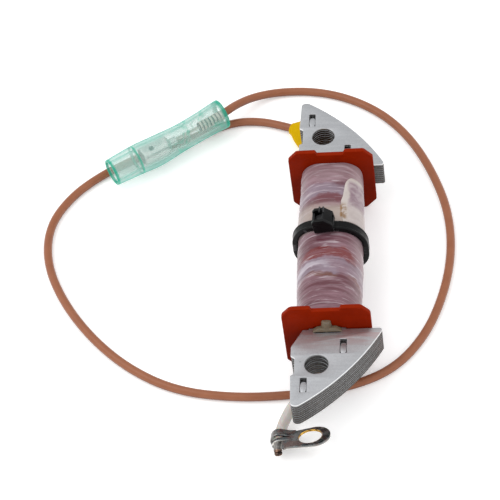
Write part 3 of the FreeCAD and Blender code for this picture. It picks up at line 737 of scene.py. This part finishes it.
ARC = 0.037                 # how far the turns lean back towards the sides of the coil
varnish = Look("impregnated_tape", Specular_IOR_Level=0.4, Coat_Weight=0.22, Coat_Roughness=0.25)
off_centre = varnish.math("SUBTRACT", varnish.x, BAR_CX)
arc = varnish.math("ADD", varnish.y, varnish.times(off_centre, off_centre, ARC))
leaning = varnish.node("ShaderNodeCombineXYZ")
for socket, value in zip(leaning.inputs, (varnish.x, arc, varnish.z)):
    varnish.wire(value, socket)
ringed = leaning.outputs[0]
bands = varnish.noise(0.62, 3.0, 0.55, stretch=(0.13, 1.0, 0.13), distortion=0.5, vector=ringed)
lines = varnish.noise(1.3, 4.0, 0.6, stretch=(0.10, 1.0, 0.10), distortion=0.5, vector=ringed)
threads = varnish.noise(3.4, 3.0, 0.6, stretch=(0.10, 1.0, 0.10), distortion=0.3, vector=ringed)
clouds = varnish.noise(0.16, 4.0, 0.6)
wobble = varnish.span(varnish.noise(0.22, 3.0, 0.6), 0.2, 0.8, -1.6, 1.6, smooth=False)
wobbly = varnish.math("ADD", arc, wobble)

varnish.color(varnish.layers(
    varnish.mix(varnish.span(bands, 0.36, 0.64), (94, 48, 58), (138, 104, 114)),
    ((90, 50, 60), varnish.span(threads, 0.40, 0.66, 0.0, 0.4)),
    # two bluish bands
    ((142, 130, 144), varnish.span(clouds, 0.3, 0.6, 0.25, 0.65),
     varnish.most(varnish.window(wobbly, -10.0, -6.5, 1.5), varnish.window(wobbly, 14.5, 17.0, 1.5))),
    # cloudy, almost clear stretch behind the tie; then a painted sheen, paler colour along both sides of the
    # coil, streaky on the left
    ((172, 158, 148), varnish.span(varnish.y, 1.0, 3.4), varnish.span(varnish.y, 12.5, 8.0),
     varnish.span(clouds, 0.25, 0.6, 0.5, 0.9)),
    ((174, 156, 158), varnish.span(varnish.x, 6.0, 9.6), varnish.span(varnish.y, -9.0, 10.0, 0.2, 0.6)),
    ((168, 154, 160), varnish.span(varnish.x, -1.5, -5.0), varnish.span(lines, 0.4, 0.6, 0.15, 0.5)),
    # bare reddish turns showing through in front of the tie, and a fainter patch behind it
    ((112, 36, 36), varnish.window(wobbly, -5.3, -3.4, 0.9), varnish.span(varnish.x, -5.2, -2.5),
     varnish.span(varnish.x, 9.4, 7.4), varnish.span(lines, 0.34, 0.56, 0.5, 0.95)),
    ((108, 56, 64), varnish.window(wobbly, 12.0, 13.8, 1.0), varnish.window(varnish.x, 0.0, 4.5, 2.0), 0.75),
    ((112, 72, 56), varnish.window(wobbly, -11.8, -11.0, 0.6), varnish.span(clouds, 0.42, 0.6, 0.0, 0.6)),
    # darker towards the near flange, paler towards the far one
    ((96, 44, 52), varnish.span(varnish.y, -20.0, -24.0), varnish.span(clouds, 0.4, 0.6, 0.1, 0.6)),
    ((190, 170, 175), varnish.span(varnish.y, 17.0, 20.0, 0.0, 0.3)),
    # milky streaks that follow the turns
    ((194, 180, 186), varnish.span(lines, 0.54, 0.66), varnish.span(bands, 0.40, 0.60, 0.35, 1.0), 0.72),
    ((196, 186, 190), varnish.span(threads, 0.62, 0.70), varnish.span(clouds, 0.4, 0.6, 0.2, 0.8), 0.5),
    ((192, 184, 194), varnish.window(wobbly, -8.6, -7.4, 0.7), varnish.span(varnish.x, 4.5, -2.0), 0.6),
    # brown stain beside the tie's head
    ((140, 100, 46), varnish.window(varnish.y, 6.6, 9.6, 1.0), varnish.window(varnish.x, 5.2, 5.9, 0.5),
     varnish.span(varnish.z, 6.0, 8.0), varnish.span(varnish.noise(0.8, 3.0, 0.6), 0.36, 0.56))))
varnish.rough(varnish.span(varnish.noise(0.8, 4.0, 0.6), 0.3, 0.7, 0.30, 0.5))
varnish.bump(bands, 0.3, 0.3)
varnish.bump(lines, 0.35, 0.14)
varnish.bump(threads, 0.2, 0.05)
settle(tape, varnish, "outer_tape")

FLAP_Y0, FLAP_Y1 = 4.6, 19.5
FLAP_TIP = 0.24             # share of its length over which the free end narrows


def flap():
    """Loose end of the tape: a thin strip stuck down over the upper right of the winding."""
    rows, columns = 90, 36
    low_side, high_side, tip_at = 37, 68.5, 58      # places round the section
    verts = []
    for lift in (0.24, 0.02):
        for j in range(rows):
            v = j / (rows - 1)
            y = FLAP_Y0 + (FLAP_Y1 - FLAP_Y0) * v
            close = max(0.0, (v - 1 + FLAP_TIP) / FLAP_TIP)
            wide = math.sqrt(max(0.0, 1 - close ** 2.4)) * 0.93 + 0.07
            wave = 1.3 * jitter(y * 0.4, 1.0, 4.0) + 1.6 * math.sin(v * 5.0)
            edge = tip_at + (high_side - tip_at + wave) * wide
            first = tip_at + (low_side - tip_at) * wide
            for i in range(columns):
                u = i / (columns - 1)
                s = first + (edge - first) * u
                a, f = int(s), s - int(s)
                p, q = section[a], section[a + 1]
                blend = [p[m] * (1 - f) + q[m] * f for m in range(4)]
                rim = min(u * 5, (1 - u) * 9, v * 14, (1 - v) * 14, 1.0)
                rise = 0.02 + (lift - 0.02) * (0.35 + 0.65 * rim ** 0.5)
                verts.append(tape_point(blend, y, rise))
    return sheet_of_two_skins(verts, rows, columns)


strip = make_object("tape_end_strip", *flap(), smooth_angle=60)
pale = Look("tape_end", Roughness=0.4, Specular_IOR_Level=0.4, Coat_Weight=0.2, Coat_Roughness=0.3)
haze = pale.noise(0.45, 4.0, 0.6, stretch=(0.6, 1.0, 0.6), distortion=0.4)
inner_part = pale.mix(pale.span(haze, 0.35, 0.65), (136, 112, 122), (172, 156, 160))
milky_part = pale.mix(haze, (176, 164, 160), (206, 198, 192))
wander = pale.math("ADD", pale.x, pale.span(haze, 0.2, 0.8, -0.7, 0.7, smooth=False))
milky_edge = pale.most(pale.span(wander, 7.3, 6.5), pale.span(pale.y, 17.2, 18.8),
                       pale.span(pale.y, 12.0, 8.0, 0.0, 0.8))
pale.color(pale.layers(
    pale.mix(milky_edge, inner_part, milky_part),
    # brown mark at the strip's near end
    ((128, 94, 56), pale.window(pale.y, 6.0, 9.5, 1.6), pale.span(pale.x, 6.9, 6.0),
     pale.span(pale.noise(0.7, 4.0, 0.6), 0.40, 0.58, 0.2, 1.0), 0.85)))
pale.bump(pale.noise(0.9, 4.0, 0.6, stretch=(0.4, 1.3, 0.4)), 0.35, 0.14)
settle(strip, pale, "tape_end")


# hidden parts of the winding keep their CAD shape
TURN_PITCH = 0.25
turns = Look("enamelled_turns", Metallic=0.85, Roughness=0.3)
rows_of_wire = turns.math("SINE", turns.times(turns.y, 2 * math.pi / TURN_PITCH))
turns.color(turns.mix(turns.noise(0.4, 3.0), (150, 80, 52), (176, 98, 66)))
turns.bump(rows_of_wire, 0.4, 0.05)
card = Look("insulating_paper", Roughness=0.8)
card.color(card.mix(card.noise(2.0, 4.0), (190, 170, 130), (206, 188, 150)))
card.bump(card.noise(5.0, 3.0), 0.2, 0.02)
for node, look in (("copper_winding", turns), ("paper_layer", card)):
    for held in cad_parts[node].material_slots:
        held.material = look.material


# ---- cable tie ----
TIE_W, TIE_T = 2.5, 1.25
STRAP_ROOM = 0.2


def tie_strap():
    """Strap round the winding, a little hollow on its outer face, with fine teeth inside."""
    half, edge = TIE_W / 2, 0.22
    hollow = TIE_T - 0.07
    profile = rounded([(-half, 0, 0.08), (half, 0, 0.08), (half, TIE_T, edge), (half - 0.45, TIE_T, 0.06),
                       (half - 0.6, hollow, 0.06), (0.6 - half, hollow, 0.06), (0.45 - half, TIE_T, 0.06),
                       (-half, TIE_T, edge)], 3)
    count = 480
    ring = rounded_ring(WIND_W + STRAP_ROOM, WIND_H + STRAP_ROOM, WIND_R + STRAP_ROOM / 2, count)
    rings = []
    for k, (x, z, nx, nz) in enumerate(ring):
        y = TIE_Y + (x - BAR_CX) * math.tan(TIE_SLANT)
        tooth = 0.12 * abs((k / 2.4) % 1.0 - 0.5)
        rings.append([(x + nx * max(o, tooth), y + a, z + nz * max(o, tooth)) for a, o in profile])
    return closed_loop(rings)


def side_plate(outline, y0, y1, edge=0.14):
    """Piece of the tie's head drawn from the side, between two planes across the strap."""
    return upright([rounded([(*corner, 0.12) for corner in outline], 2)], y0, y1, edge)


def tie_head():
    """Head of the tie: two cheeks, a floor, the cut tail, the locking tongue and two ribs on top."""
    cheek = [(-2.4, 0), (2.4, 0), (2.4, 2.45), (0.65, 4.2), (-1.75, 4.2), (-2.4, 3.55)]
    parts = [
        side_plate(cheek, 1.45, 2.2), side_plate(cheek, -2.2, -1.45),
        side_plate(box(-2.4, 0.02, 2.38, 1.22), -1.6, 1.6),
        side_plate([(-2.15, 1.28), (1.7, 1.28), (1.7, 2.25), (-2.05, 2.25)], -1.22, 1.22, 0.1),
        side_plate([(0.2, 2.62), (2.36, 2.5), (2.30, 2.55), (0.68, 4.12), (0.2, 4.12)], -1.6, 1.6),
        side_plate(box(-2.36, 2.6, -1.75, 3.35), -1.6, 1.6),
        side_plate([(-1.45, 2.35), (0.35, 2.95), (0.35, 3.45), (-1.55, 2.85)], -0.95, 0.95, 0.08),
        side_plate([(-0.65, 4.05), (-0.15, 4.05), (-0.22, 4.6), (-0.58, 4.6)], 0.5, 2.25, 0.1),
        side_plate([(0.25, 4.0), (0.75, 4.0), (0.66, 4.5), (0.32, 4.5)], 0.5, 2.25, 0.1),
    ]
    place = (Matrix.Translation((1.45, TIE_Y, WIND_CZ + (WIND_H + STRAP_ROOM) / 2 + 0.6))
             @ Matrix.Rotation(TIE_SLANT / 3, 4, "Z") @ Matrix.Rotation(math.radians(-9.0), 4, "Y"))
    return placed(joined(*parts), place)


nylon = Look("tie_nylon", Specular_IOR_Level=0.16)
# painted highlight: the tie's sharp edges are coloured lighter grey
edge_highlight_mask = nylon.node("ShaderNodeNewGeometry").outputs["Pointiness"]
nylon_body = nylon.mix(nylon.noise(0.8, 3.0), (3, 3, 4), (9, 9, 10))
nylon.color(nylon.mix(nylon.span(edge_highlight_mask, 0.53, 0.62), nylon_body, (72, 72, 74)))
nylon.rough(nylon.span(nylon.noise(1.5, 4.0, 0.6), 0.3, 0.7, 0.26, 0.42))
nylon.bump(nylon.noise(4.0, 3.0), 0.12, 0.03)
tie = make_object("nylon_tie", *joined(tie_strap(), tie_head()), smooth_angle=32)
settle(tie, nylon, "cable_tie")


# ---- wedge at the near flange ----
def wedge_parts():
    """Cream wedge: trapezoid head against the flange, a half-round nub and the blade under the bobbin."""
    base, face = STACK_TOP + 0.01, -FLANGE_OUT_Y - 0.01
    thickness, blade_l = 1.2, 14
    outline = rounded([(BAR_CX + x, base + rise, r) for x, rise, r in (
        (-3.6, 0, 0.12), (3.6, 0, 0.12), (2.3, 1.1, 0.6), (1.2, 1.25, 0.6), (-1.4, 1.25, 0.6),
        (-2.3, 1.1, 0.6))], 5)
    head = upright([outline], face - thickness, face, 0.28, 3)
    rings = []
    for t, r in ((0.0, 1.32), (0.9, 1.28), (1.5, 1.2), (2.1, 1.13), (2.7, 1.08), (2.9, 1.0), (3.05, 0.84),
                 (3.1, 0.55)):
        loop = []
        for i in range(41):
            a = math.pi + math.pi * i / 40
            loop.append((BAR_CX - 0.1 + r * math.cos(a), face + 0.92 * r * math.sin(a), base + t))
        rings.append(loop)
    blade = [(BAR_CX - 2.8, face), (BAR_CX + 2.8, face), (BAR_CX + 2.6, face + blade_l),
             (BAR_CX - 2.6, face + blade_l)]
    return joined(head, skin(rings), plate([blade], base, STACK_TOP + 0.35, 0.05))


cream = Look("wedge_cream", Roughness=0.5, Subsurface_Weight=0.15, Subsurface_Scale=0.001)
cream.color(cream.mix(cream.noise(0.9, 4.0, 0.6), (96, 82, 64), (126, 112, 92)))
cream.bump(cream.noise(2.5, 4.0), 0.3, 0.06)
settle(make_object("cream_wedge", *wedge_parts()), cream, "core_wedge")


# ---- bullet connector ----
TO_CONNECTOR = Matrix.Translation(MOUTH) @ Vector((0, 0, 1)).rotation_difference(AXIS).to_matrix().to_4x4()
SLEEVE_L, SLEEVE_WALL = 33.0, 0.7
STOP_S0, STOP_S1 = 7.2, 7.5
SLEEVE_OUTLINE = [(3.5, 0.0), (3.9, 7.4), (3.97, 11.5), (3.83, 15.4), (3.5, 20.3), (3.55, 26.4), (3.85, 31.6),
                  (3.87, SLEEVE_L)]
# small bow of the soft sleeve: (distance from the mouth, height off the straight axis)
BOW = [(0, 0.0), (8, -0.05), (15, -0.45), (20, -0.35), (26, 0.1), (33, 0.5)]


def vinyl_sleeve():
    """Soft sleeve with rounded rims, a straight mouth and a stop ring inside."""
    outside = [(p.x, p.y) for p in smooth_line(SLEEVE_OUTLINE, 60)]
    inside = [(r - SLEEVE_WALL, s) for r, s in outside if s > STOP_S1 + 0.2]
    end = SLEEVE_L
    profile = [(3.30, 0.0), (3.42, 0.05), (3.5, 0.2)] + [p for p in outside if 0.4 < p[1] < end - 0.4]
    profile += [(3.87, end - 0.25), (3.8, end - 0.05), (3.68, end), (3.32, end), (3.2, end - 0.1)]
    profile += [p for p in reversed(inside) if p[1] < end - 0.3]
    profile += [(2.62, STOP_S1), (2.6, STOP_S1 - 0.1), (2.6, STOP_S0 + 0.1), (2.62, STOP_S0),
                (2.8, STOP_S0 - 0.05), (2.8, 0.25), (2.88, 0.08), (3.0, 0.0)]
    verts, faces = lathe(profile, 120)
    bow = smooth_line(BOW, 67)
    soft = []
    for x, y, s in verts:
        dent = 1 + (0.02 * jitter(x * 0.2, y * 0.2, s * 0.12) if s > STOP_S1 else 0.0)
        at = min(len(bow) - 1, int(s / SLEEVE_L * (len(bow) - 1)))
        place = TO_CONNECTOR @ Vector((x * dent, y * dent, s))
        soft.append((place.x, place.y, place.z + bow[at].y))
    return soft, faces


vinyl = Look("vinyl_green", Roughness=0.3, Specular_IOR_Level=0.35)
facing = vinyl.node("ShaderNodeLayerWeight").outputs["Facing"]
from_mouth = vinyl.along(AXIS, MOUTH)
mottle = vinyl.noise(0.16, 3.0, 0.5, distortion=0.8)
grazing = vinyl.span(facing, 0.2, 0.85)
vinyl_body = vinyl.mix(grazing, (208, 231, 224), (56, 186, 166))
vinyl_body = vinyl.mix(vinyl.span(mottle, 0.35, 0.65, 0.0, 0.4), vinyl_body, (136, 210, 196))
rims = vinyl.most(vinyl.span(from_mouth, 0.95, 0.45), vinyl.span(from_mouth, SLEEVE_L - 1.6, SLEEVE_L - 0.7))
stop_line = vinyl.window(from_mouth, STOP_S0 - 0.05, STOP_S1 + 0.05, 0.12)
patches_at = vinyl.window(from_mouth, 18.0, 30.0, 3.0)
folds = vinyl.span(vinyl.noise(0.26, 2.0, 0.5, distortion=0.8), 0.54, 0.62)
strong = vinyl.most(rims, vinyl.times(stop_line, 0.9), vinyl.times(folds, patches_at, 0.7))
vinyl.color(vinyl.mix(strong, vinyl_body, (20, 168, 140)))
cover = vinyl.span(facing, 0.1, 0.85, 0.24, 0.72)
cover = vinyl.math("ADD", cover, vinyl.times(strong, 0.4))
vinyl.wire(vinyl.math("MINIMUM", cover, 0.95), vinyl.shader.inputs["Alpha"])
vinyl.bump(vinyl.noise(0.35, 2.0), 0.2, 0.3)
settle(make_object("vinyl_sleeve", *vinyl_sleeve()), vinyl, "connector_sleeve")

RECEPT_S0, RECEPT_R, CRIMP_S1 = 8.9, 2.45, 18.8
DIMPLE_S, DIMPLE_R, DIMPLE_DEPTH = 11.6, 0.62, 0.55
DIMPLE_WAY = Vector((0.05, -0.37, 0.93))


def on_axis(s):
    """Point on the connector's axis."""
    return MOUTH + AXIS * s


dimple_out = (DIMPLE_WAY - AXIS * DIMPLE_WAY.dot(AXIS)).normalized()
dimple_at = on_axis(DIMPLE_S) + dimple_out * RECEPT_R


def receptacle():
    """Rolled socket with a locking dimple, necked down to the crimp on the strands."""
    wall = 0.4
    profile = [(2.06, RECEPT_S0), (2.32, RECEPT_S0), (RECEPT_R, RECEPT_S0 + 0.16)]
    profile += [(RECEPT_R, RECEPT_S0 + 0.16 + 0.12 * k) for k in range(1, 58)]
    profile += [(2.36, 15.9), (2.1, 16.4), (1.6, 16.75), (1.05, 17.0), (0.95, 17.4), (0.98, 18.0),
                (0.95, CRIMP_S1), (0.62, CRIMP_S1), (0.62, 17.0), (1.3, 16.3), (2.0, 15.7),
                (RECEPT_R - wall, 14.8), (RECEPT_R - wall, RECEPT_S0 + 0.2)]
    verts, faces = placed(lathe(profile, 120), TO_CONNECTOR)
    pressed = []
    for v in verts:
        off = (Vector(v) - dimple_at).length / DIMPLE_R
        push = DIMPLE_DEPTH * max(0.0, 1 - off * off) ** 0.7 if off < 1 else 0.0
        pressed.append(tuple(Vector(v) - dimple_out * push))
    return pressed, faces


tin = Look("bright_tin", Metallic=0.75, Roughness=0.25)
tin_colour = tin.mix(tin.noise(0.8, 4.0), (206, 205, 202), (240, 240, 238))
# painted shade: the dimple's hollow is coloured dark
tin.color(tin.mix(tin.span(tin.distance(dimple_at), 0.75, 0.5), tin_colour, (70, 84, 80)))
tin.bump(tin.noise(3.0, 3.0), 0.15, 0.03)
settle(make_object("bullet_socket", *receptacle(), smooth_angle=40), tin, "bullet_receptacle")


def twisted_strands(count, bundle, wire, path, turns_per_step):
    """Stranded wire: thin round strands wound about a path of points, with the way each step points."""
    parts = []
    for n in range(count):
        spread = 0.0 if n == 0 else bundle - wire
        rings = []
        for j, place in enumerate(path):
            ahead = heading(path, j)
            side = ahead.cross(Vector((0.3, 0.1, 1.0))).normalized()
            up = side.cross(ahead)
            a = 2 * math.pi * n / max(count - 1, 1) + turns_per_step * j
            loose = 1 + 0.18 * jitter(n * 3.1, j * 0.15, 2.0)
            centre = place + (side * math.cos(a) + up * math.sin(a)) * spread * loose
            rings.append(ring_about(centre, side, up, wire, 8))
        parts.append(skin(rings))
    return joined(*parts)


STRANDS_S0, STRANDS_L = 18.3, 8.6
strand_path = [on_axis(STRANDS_S0 + STRANDS_L * j / 50) for j in range(51)]
bright = Look("tinned_strands", Metallic=0.6, Roughness=0.35)
bright.color(bright.mix(bright.noise(1.5, 3.0), (186, 172, 158), (236, 232, 226)))
strands = make_object("bare_strands", *twisted_strands(7, 0.44, 0.15, strand_path, 0.26))
settle(strands, bright, "lead_strands")


GRIP_S0, GRIP_S1, GRIP_RIBS = 25.8, 32.8, 7
GRIP_PITCH = (GRIP_S1 - GRIP_S0) / GRIP_RIBS


def ribbed_grip():
    """Insulation grip: a rolled sleeve pressed into rings."""
    profile = [(1.07, GRIP_S0)]
    for k in range(GRIP_RIBS):
        s = GRIP_S0 + k * GRIP_PITCH
        for part, r in ((0.04, 1.10), (0.16, 1.12), (0.28, 1.26), (0.45, 1.32), (0.68, 1.32), (0.84, 1.25),
                        (0.94, 1.12)):
            profile.append((r, s + part * GRIP_PITCH))
    profile += [(1.16, GRIP_S1), (1.07, GRIP_S1)]
    return placed(lathe(profile, 72), TO_CONNECTOR)


grip = Look("grip_metal", Metallic=1.0, Roughness=0.38)
into_grip = grip.along(AXIS, MOUTH + AXIS * GRIP_S0)
pitch_place = grip.math("FRACT", grip.math("DIVIDE", into_grip, GRIP_PITCH))
ridge = grip.times(grip.span(pitch_place, 0.18, 0.36), grip.span(pitch_place, 0.95, 0.8))
# painted shade: the grooves between the rings are coloured dark brown, the raised rings pale
grip.color(grip.mix(ridge, (30, 16, 8), (206, 196, 182)))
grip.bump(grip.noise(3.0, 3.0), 0.2, 0.04)
settle(make_object("ribbed_grip", *ribbed_grip()), grip, "insulation_grip")


# ---- yellow sleeve over the joint ----
# place, then heading in degrees, width and height of the flattened tube
YELLOW = [
    ((-9.6, 51.35, 1.3), (-29.0, 2.8, 2.6)), ((-6.2, 50.4, 1.45), (-46.0, 8.2, 2.7)),
    ((-3.9, 44.4, 1.6), (-74.0, 6.8, 2.6)), ((-1.2, 35.2, 1.9), (-78.0, 4.8, 2.4)),
    ((0.6, 28.0, 2.2), (-88.0, 3.4, 2.2)), ((0.8, 21.5, 2.3), (-90.0, 3.2, 2.2)),
]


def yellow_sleeve():
    """Flattened soft tube that flares from the lead and narrows again under the core."""
    count, rows = 64, 90
    places = smooth_line([p for p, _ in YELLOW], rows)
    shapes = smooth_line([q for _, q in YELLOW], rows)
    outer, inner = [], []
    for j in range(rows):
        place, (heading, w, h) = places[j], shapes[j]
        a = math.radians(heading - 90)
        across = Vector((math.cos(a), math.sin(a), 0))
        for ring, thin in ((outer, 0.0), (inner, 0.28)):
            points = []
            for b in turns_of(count):
                c, s = math.cos(b), math.sin(b)
                u = math.copysign(abs(c) ** 0.85, c) * (w / 2 - thin)
                v = math.copysign(abs(s) ** 0.85, s) * (h / 2 - thin)
                crease = 0.06 * jitter(u * 0.5, place.y * 0.35, v) if thin == 0 else 0.0
                centre = Vector((place.x, place.y, FLOOR_Z + place.z))
                point = centre + across * (u + crease) + Vector((0, 0, v * (1 + crease)))
                point.z = max(point.z, FLOOR_Z + 0.02)
                points.append(tuple(point))
            ring.append(points)
    return closed_loop(outer + inner[::-1])


yellow = Look("sleeve_yellow", Roughness=0.5, Specular_IOR_Level=0.05)
weave = yellow.noise(2.6, 4.0, 0.7)
yellow.color(yellow.mix(weave, (196, 150, 0), (220, 182, 0)))
yellow.bump(weave, 0.35, 0.08)
settle(make_object("yellow_tube", *yellow_sleeve()), yellow, "yellow_sleeve")


# ---- ring terminal ----
TERM_CENTRE = Vector((-1.96, -48.95, FLOOR_Z + 4.2))
TO_TERMINAL = (Matrix.Translation(TERM_CENTRE) @ Matrix.Rotation(math.radians(8.0), 4, "Z")
               @ Matrix.Rotation(math.radians(-4.8), 4, "Y") @ Matrix.Rotation(math.radians(-20.5), 4, "X")
               @ Matrix.Rotation(math.radians(-5.0), 4, "Z"))
TERM_T, TERM_HOLE_R = 0.65, 2.7
BARREL_X, BARREL_Z = -7.7, -1.1
# the crimp in section, seen along the wire: from the flat of the ring, over the wire and down round its back
FRONT_WING = [(-4.6, 0.02), (-5.6, 0.16), (-6.6, 0.3), (-7.5, 0.34), (-8.3, 0.1), (-8.9, -0.45),
              (-9.15, -1.1), (-8.95, -1.8), (-8.4, -2.3), (-7.6, -2.5)]
# the rear wing is wider, because it closes on the sleeving
REAR_WING = [(-3.4, -0.05), (-4.9, 0.2), (-6.2, 0.65), (-7.1, 0.95), (-7.9, 0.98), (-8.7, 0.62),
             (-9.35, -0.15), (-9.55, -1.0), (-9.3, -1.85), (-8.7, -2.45), (-7.8, -2.7)]


def bent_strip(line, y0, y1, thickness, edge, count=60):
    """Strip bent along a line of (x, z), between two places across it, with softened edges."""
    path = [Vector((p.x, p.y)) for p in smooth_line(line, count)]
    rings = []
    for j, at in enumerate(path):
        ahead = heading(path, j)
        down = Vector((-ahead.y, ahead.x))
        loop = []
        for y, t in ((y0 + edge, 0), (y1 - edge, 0), (y1, edge), (y1, thickness - edge),
                     (y1 - edge, thickness), (y0 + edge, thickness), (y0, thickness - edge), (y0, edge)):
            q = at + down * t
            loop.append((q.x, y, q.y))
        rings.append(loop)
    return skin(rings)


def terminal_parts():
    """Stamped ring whose tongue is rolled round the wire in two wings."""
    centre_x, centre_y, r = 0.98, -0.17, 3.75
    ring = []
    for k in range(25):
        a = math.radians(-90 + 180 * k / 24)
        ring.append((centre_x + r * math.cos(a), centre_y + r * math.sin(a)))
    left = rounded([(-5.2, 3.55, 0.6), (-6.5, 3.0, 0.3), (-6.5, -2.9, 0.6), (-5.6, -3.9, 0.6)], 5)
    flat = plate([ring + left, circle(0, 0, TERM_HOLE_R)], -TERM_T, 0, 0.14, 3)
    rear = bent_strip(REAR_WING, 1.05, 3.5, 0.38, 0.12)
    front = bent_strip(FRONT_WING, -0.45, 0.78, 0.5, 0.16)
    verts, faces = placed(joined(flat, rear, front), TO_TERMINAL)
    return [(x, y, max(z, FLOOR_Z + 0.03)) for x, y, z in verts], faces


tag = Look("dark_tin", Metallic=0.9, Roughness=0.34)
plate_up = TO_TERMINAL.to_3x3() @ Vector((0, 0, 1))
across_plate = TO_TERMINAL.to_3x3() @ Vector((0, 1, 0))
worn_way = (TO_TERMINAL.to_3x3() @ Vector((0.8, -0.6, 0))).normalized()
reach = tag.distance(TO_TERMINAL @ Vector((0, 0, -TERM_T / 2)))
lift = tag.along(plate_up, TERM_CENTRE)
inward = tag.along(across_plate, TERM_CENTRE)
worn_side = tag.along(worn_way, TERM_CENTRE)
tilt = tag.math("ABSOLUTE", tag.vector_math("DOT_PRODUCT", tag.normal(), plate_up))
on_side = tag.span(tilt, 0.80, 0.45)
low_rim_highlight = tag.times(on_side, tag.span(lift, -0.36, -0.52), tag.span(lift, -1.0, -0.8),
                    tag.span(reach, 7.4, 6.6))
front_lip_highlight = tag.times(on_side, tag.span(lift, -1.2, -0.6), tag.window(inward, -0.75, -0.2, 0.1))
tarnish = tag.noise(0.45, 5.0, 0.65)
brass = tag.mix(tag.span(tag.noise(1.2, 4.0, 0.7), 0.38, 0.6), (110, 70, 18), (236, 190, 92))
tag.color(tag.layers(
    tag.mix(tag.span(tarnish, 0.36, 0.64), (72, 80, 84), (140, 140, 140)),
    # warm spots, then the plate's own edge, then painted highlights along the ring's low rim and the front
    # wing's front edge
    ((112, 84, 78), tag.span(tag.noise(0.5, 3.0, 0.6, distortion=0.5), 0.46, 0.62, 0.0, 0.7)),
    ((132, 132, 130), on_side, 0.6), ((222, 218, 212), tag.most(low_rim_highlight, front_lip_highlight)),
    # worn rim of the hole, and the brass in its wall
    ((206, 182, 168), tag.span(reach, 3.05, 2.92), tag.span(reach, 2.70, 2.74),
     tag.span(worn_side, 1.6, 2.3)),
    (brass, tag.span(reach, 2.95, 2.82), tag.span(tilt, 0.85, 0.55))))
tag.rough(tag.span(tarnish, 0.3, 0.7, 0.2, 0.4))
tag.bump(tag.noise(1.8, 4.0), 0.2, 0.06)
ring_tag = make_object("ring_tag", *terminal_parts(), smooth_angle=40)
settle(ring_tag, tag, "ring_terminal")

STUB_R = 1.0
STUB_END = Vector((-9.2, -52.9, -4.3))
stub_line = [TO_TERMINAL @ Vector((BARREL_X, y, BARREL_Z)) for y in (0.6, -0.8, -2.0)] + [STUB_END]


def wire_stub():
    """Tinned end of the wire: a tight round bundle with its cut strands showing in the open end."""
    rows, count = 40, 48
    path = smooth_line(stub_line, rows)
    rings, cup = [], []
    for j, at in enumerate(path):
        ahead = heading(path, j)
        side = ahead.cross(Vector((0, 0, 1))).normalized()
        up = side.cross(ahead)
        swell_out = 1 - 0.14 * (j / (rows - 1)) ** 2 + 0.04 * math.sin(j * 0.9)
        rings.append([tuple(at + (side * math.cos(b) + up * math.sin(b)) * STUB_R * swell_out
                            * (1 + 0.035 * math.cos(7 * b + j * 0.12)))
                      for b in turns_of(count)])
    for back, r in ((0.0, 0.80), (0.08, 0.70), (0.6, 0.64)):
        cup.append(ring_about(path[-1] - ahead * back, side, up, STUB_R * r, count))
    bundle = skin(rings + cup)
    strands = []
    for n in range(7):
        b = 2 * math.pi * n / 6
        offset = (side * math.cos(b) + up * math.sin(b)) * (0.0 if n == 0 else 0.4)
        steps = [path[-1] + offset - ahead * d for d in (0.75, 0.5, 0.3, 0.12 + 0.06 * (n % 3))]
        strands.append(twisted_strands(1, 0.2, 0.19, steps, 0.0))
    return joined(bundle, *strands)


stub = Look("wire_end_dark", Metallic=0.9, Roughness=0.36)
tip = stub.span(stub.distance(STUB_END), 1.75, 1.15)
grime = stub.noise(1.3, 4.0, 0.6)
tip_colour = stub.mix(stub.span(grime, 0.45, 0.62), (34, 20, 16), (150, 118, 100))
stub.color(stub.mix(tip, stub.mix(grime, (112, 110, 108), (176, 174, 170)), tip_colour))
stub.bump(stub.noise(3.0, 3.0), 0.3, 0.05)
settle(make_object("ground_strands", *wire_stub()), stub, "ground_wire_end")
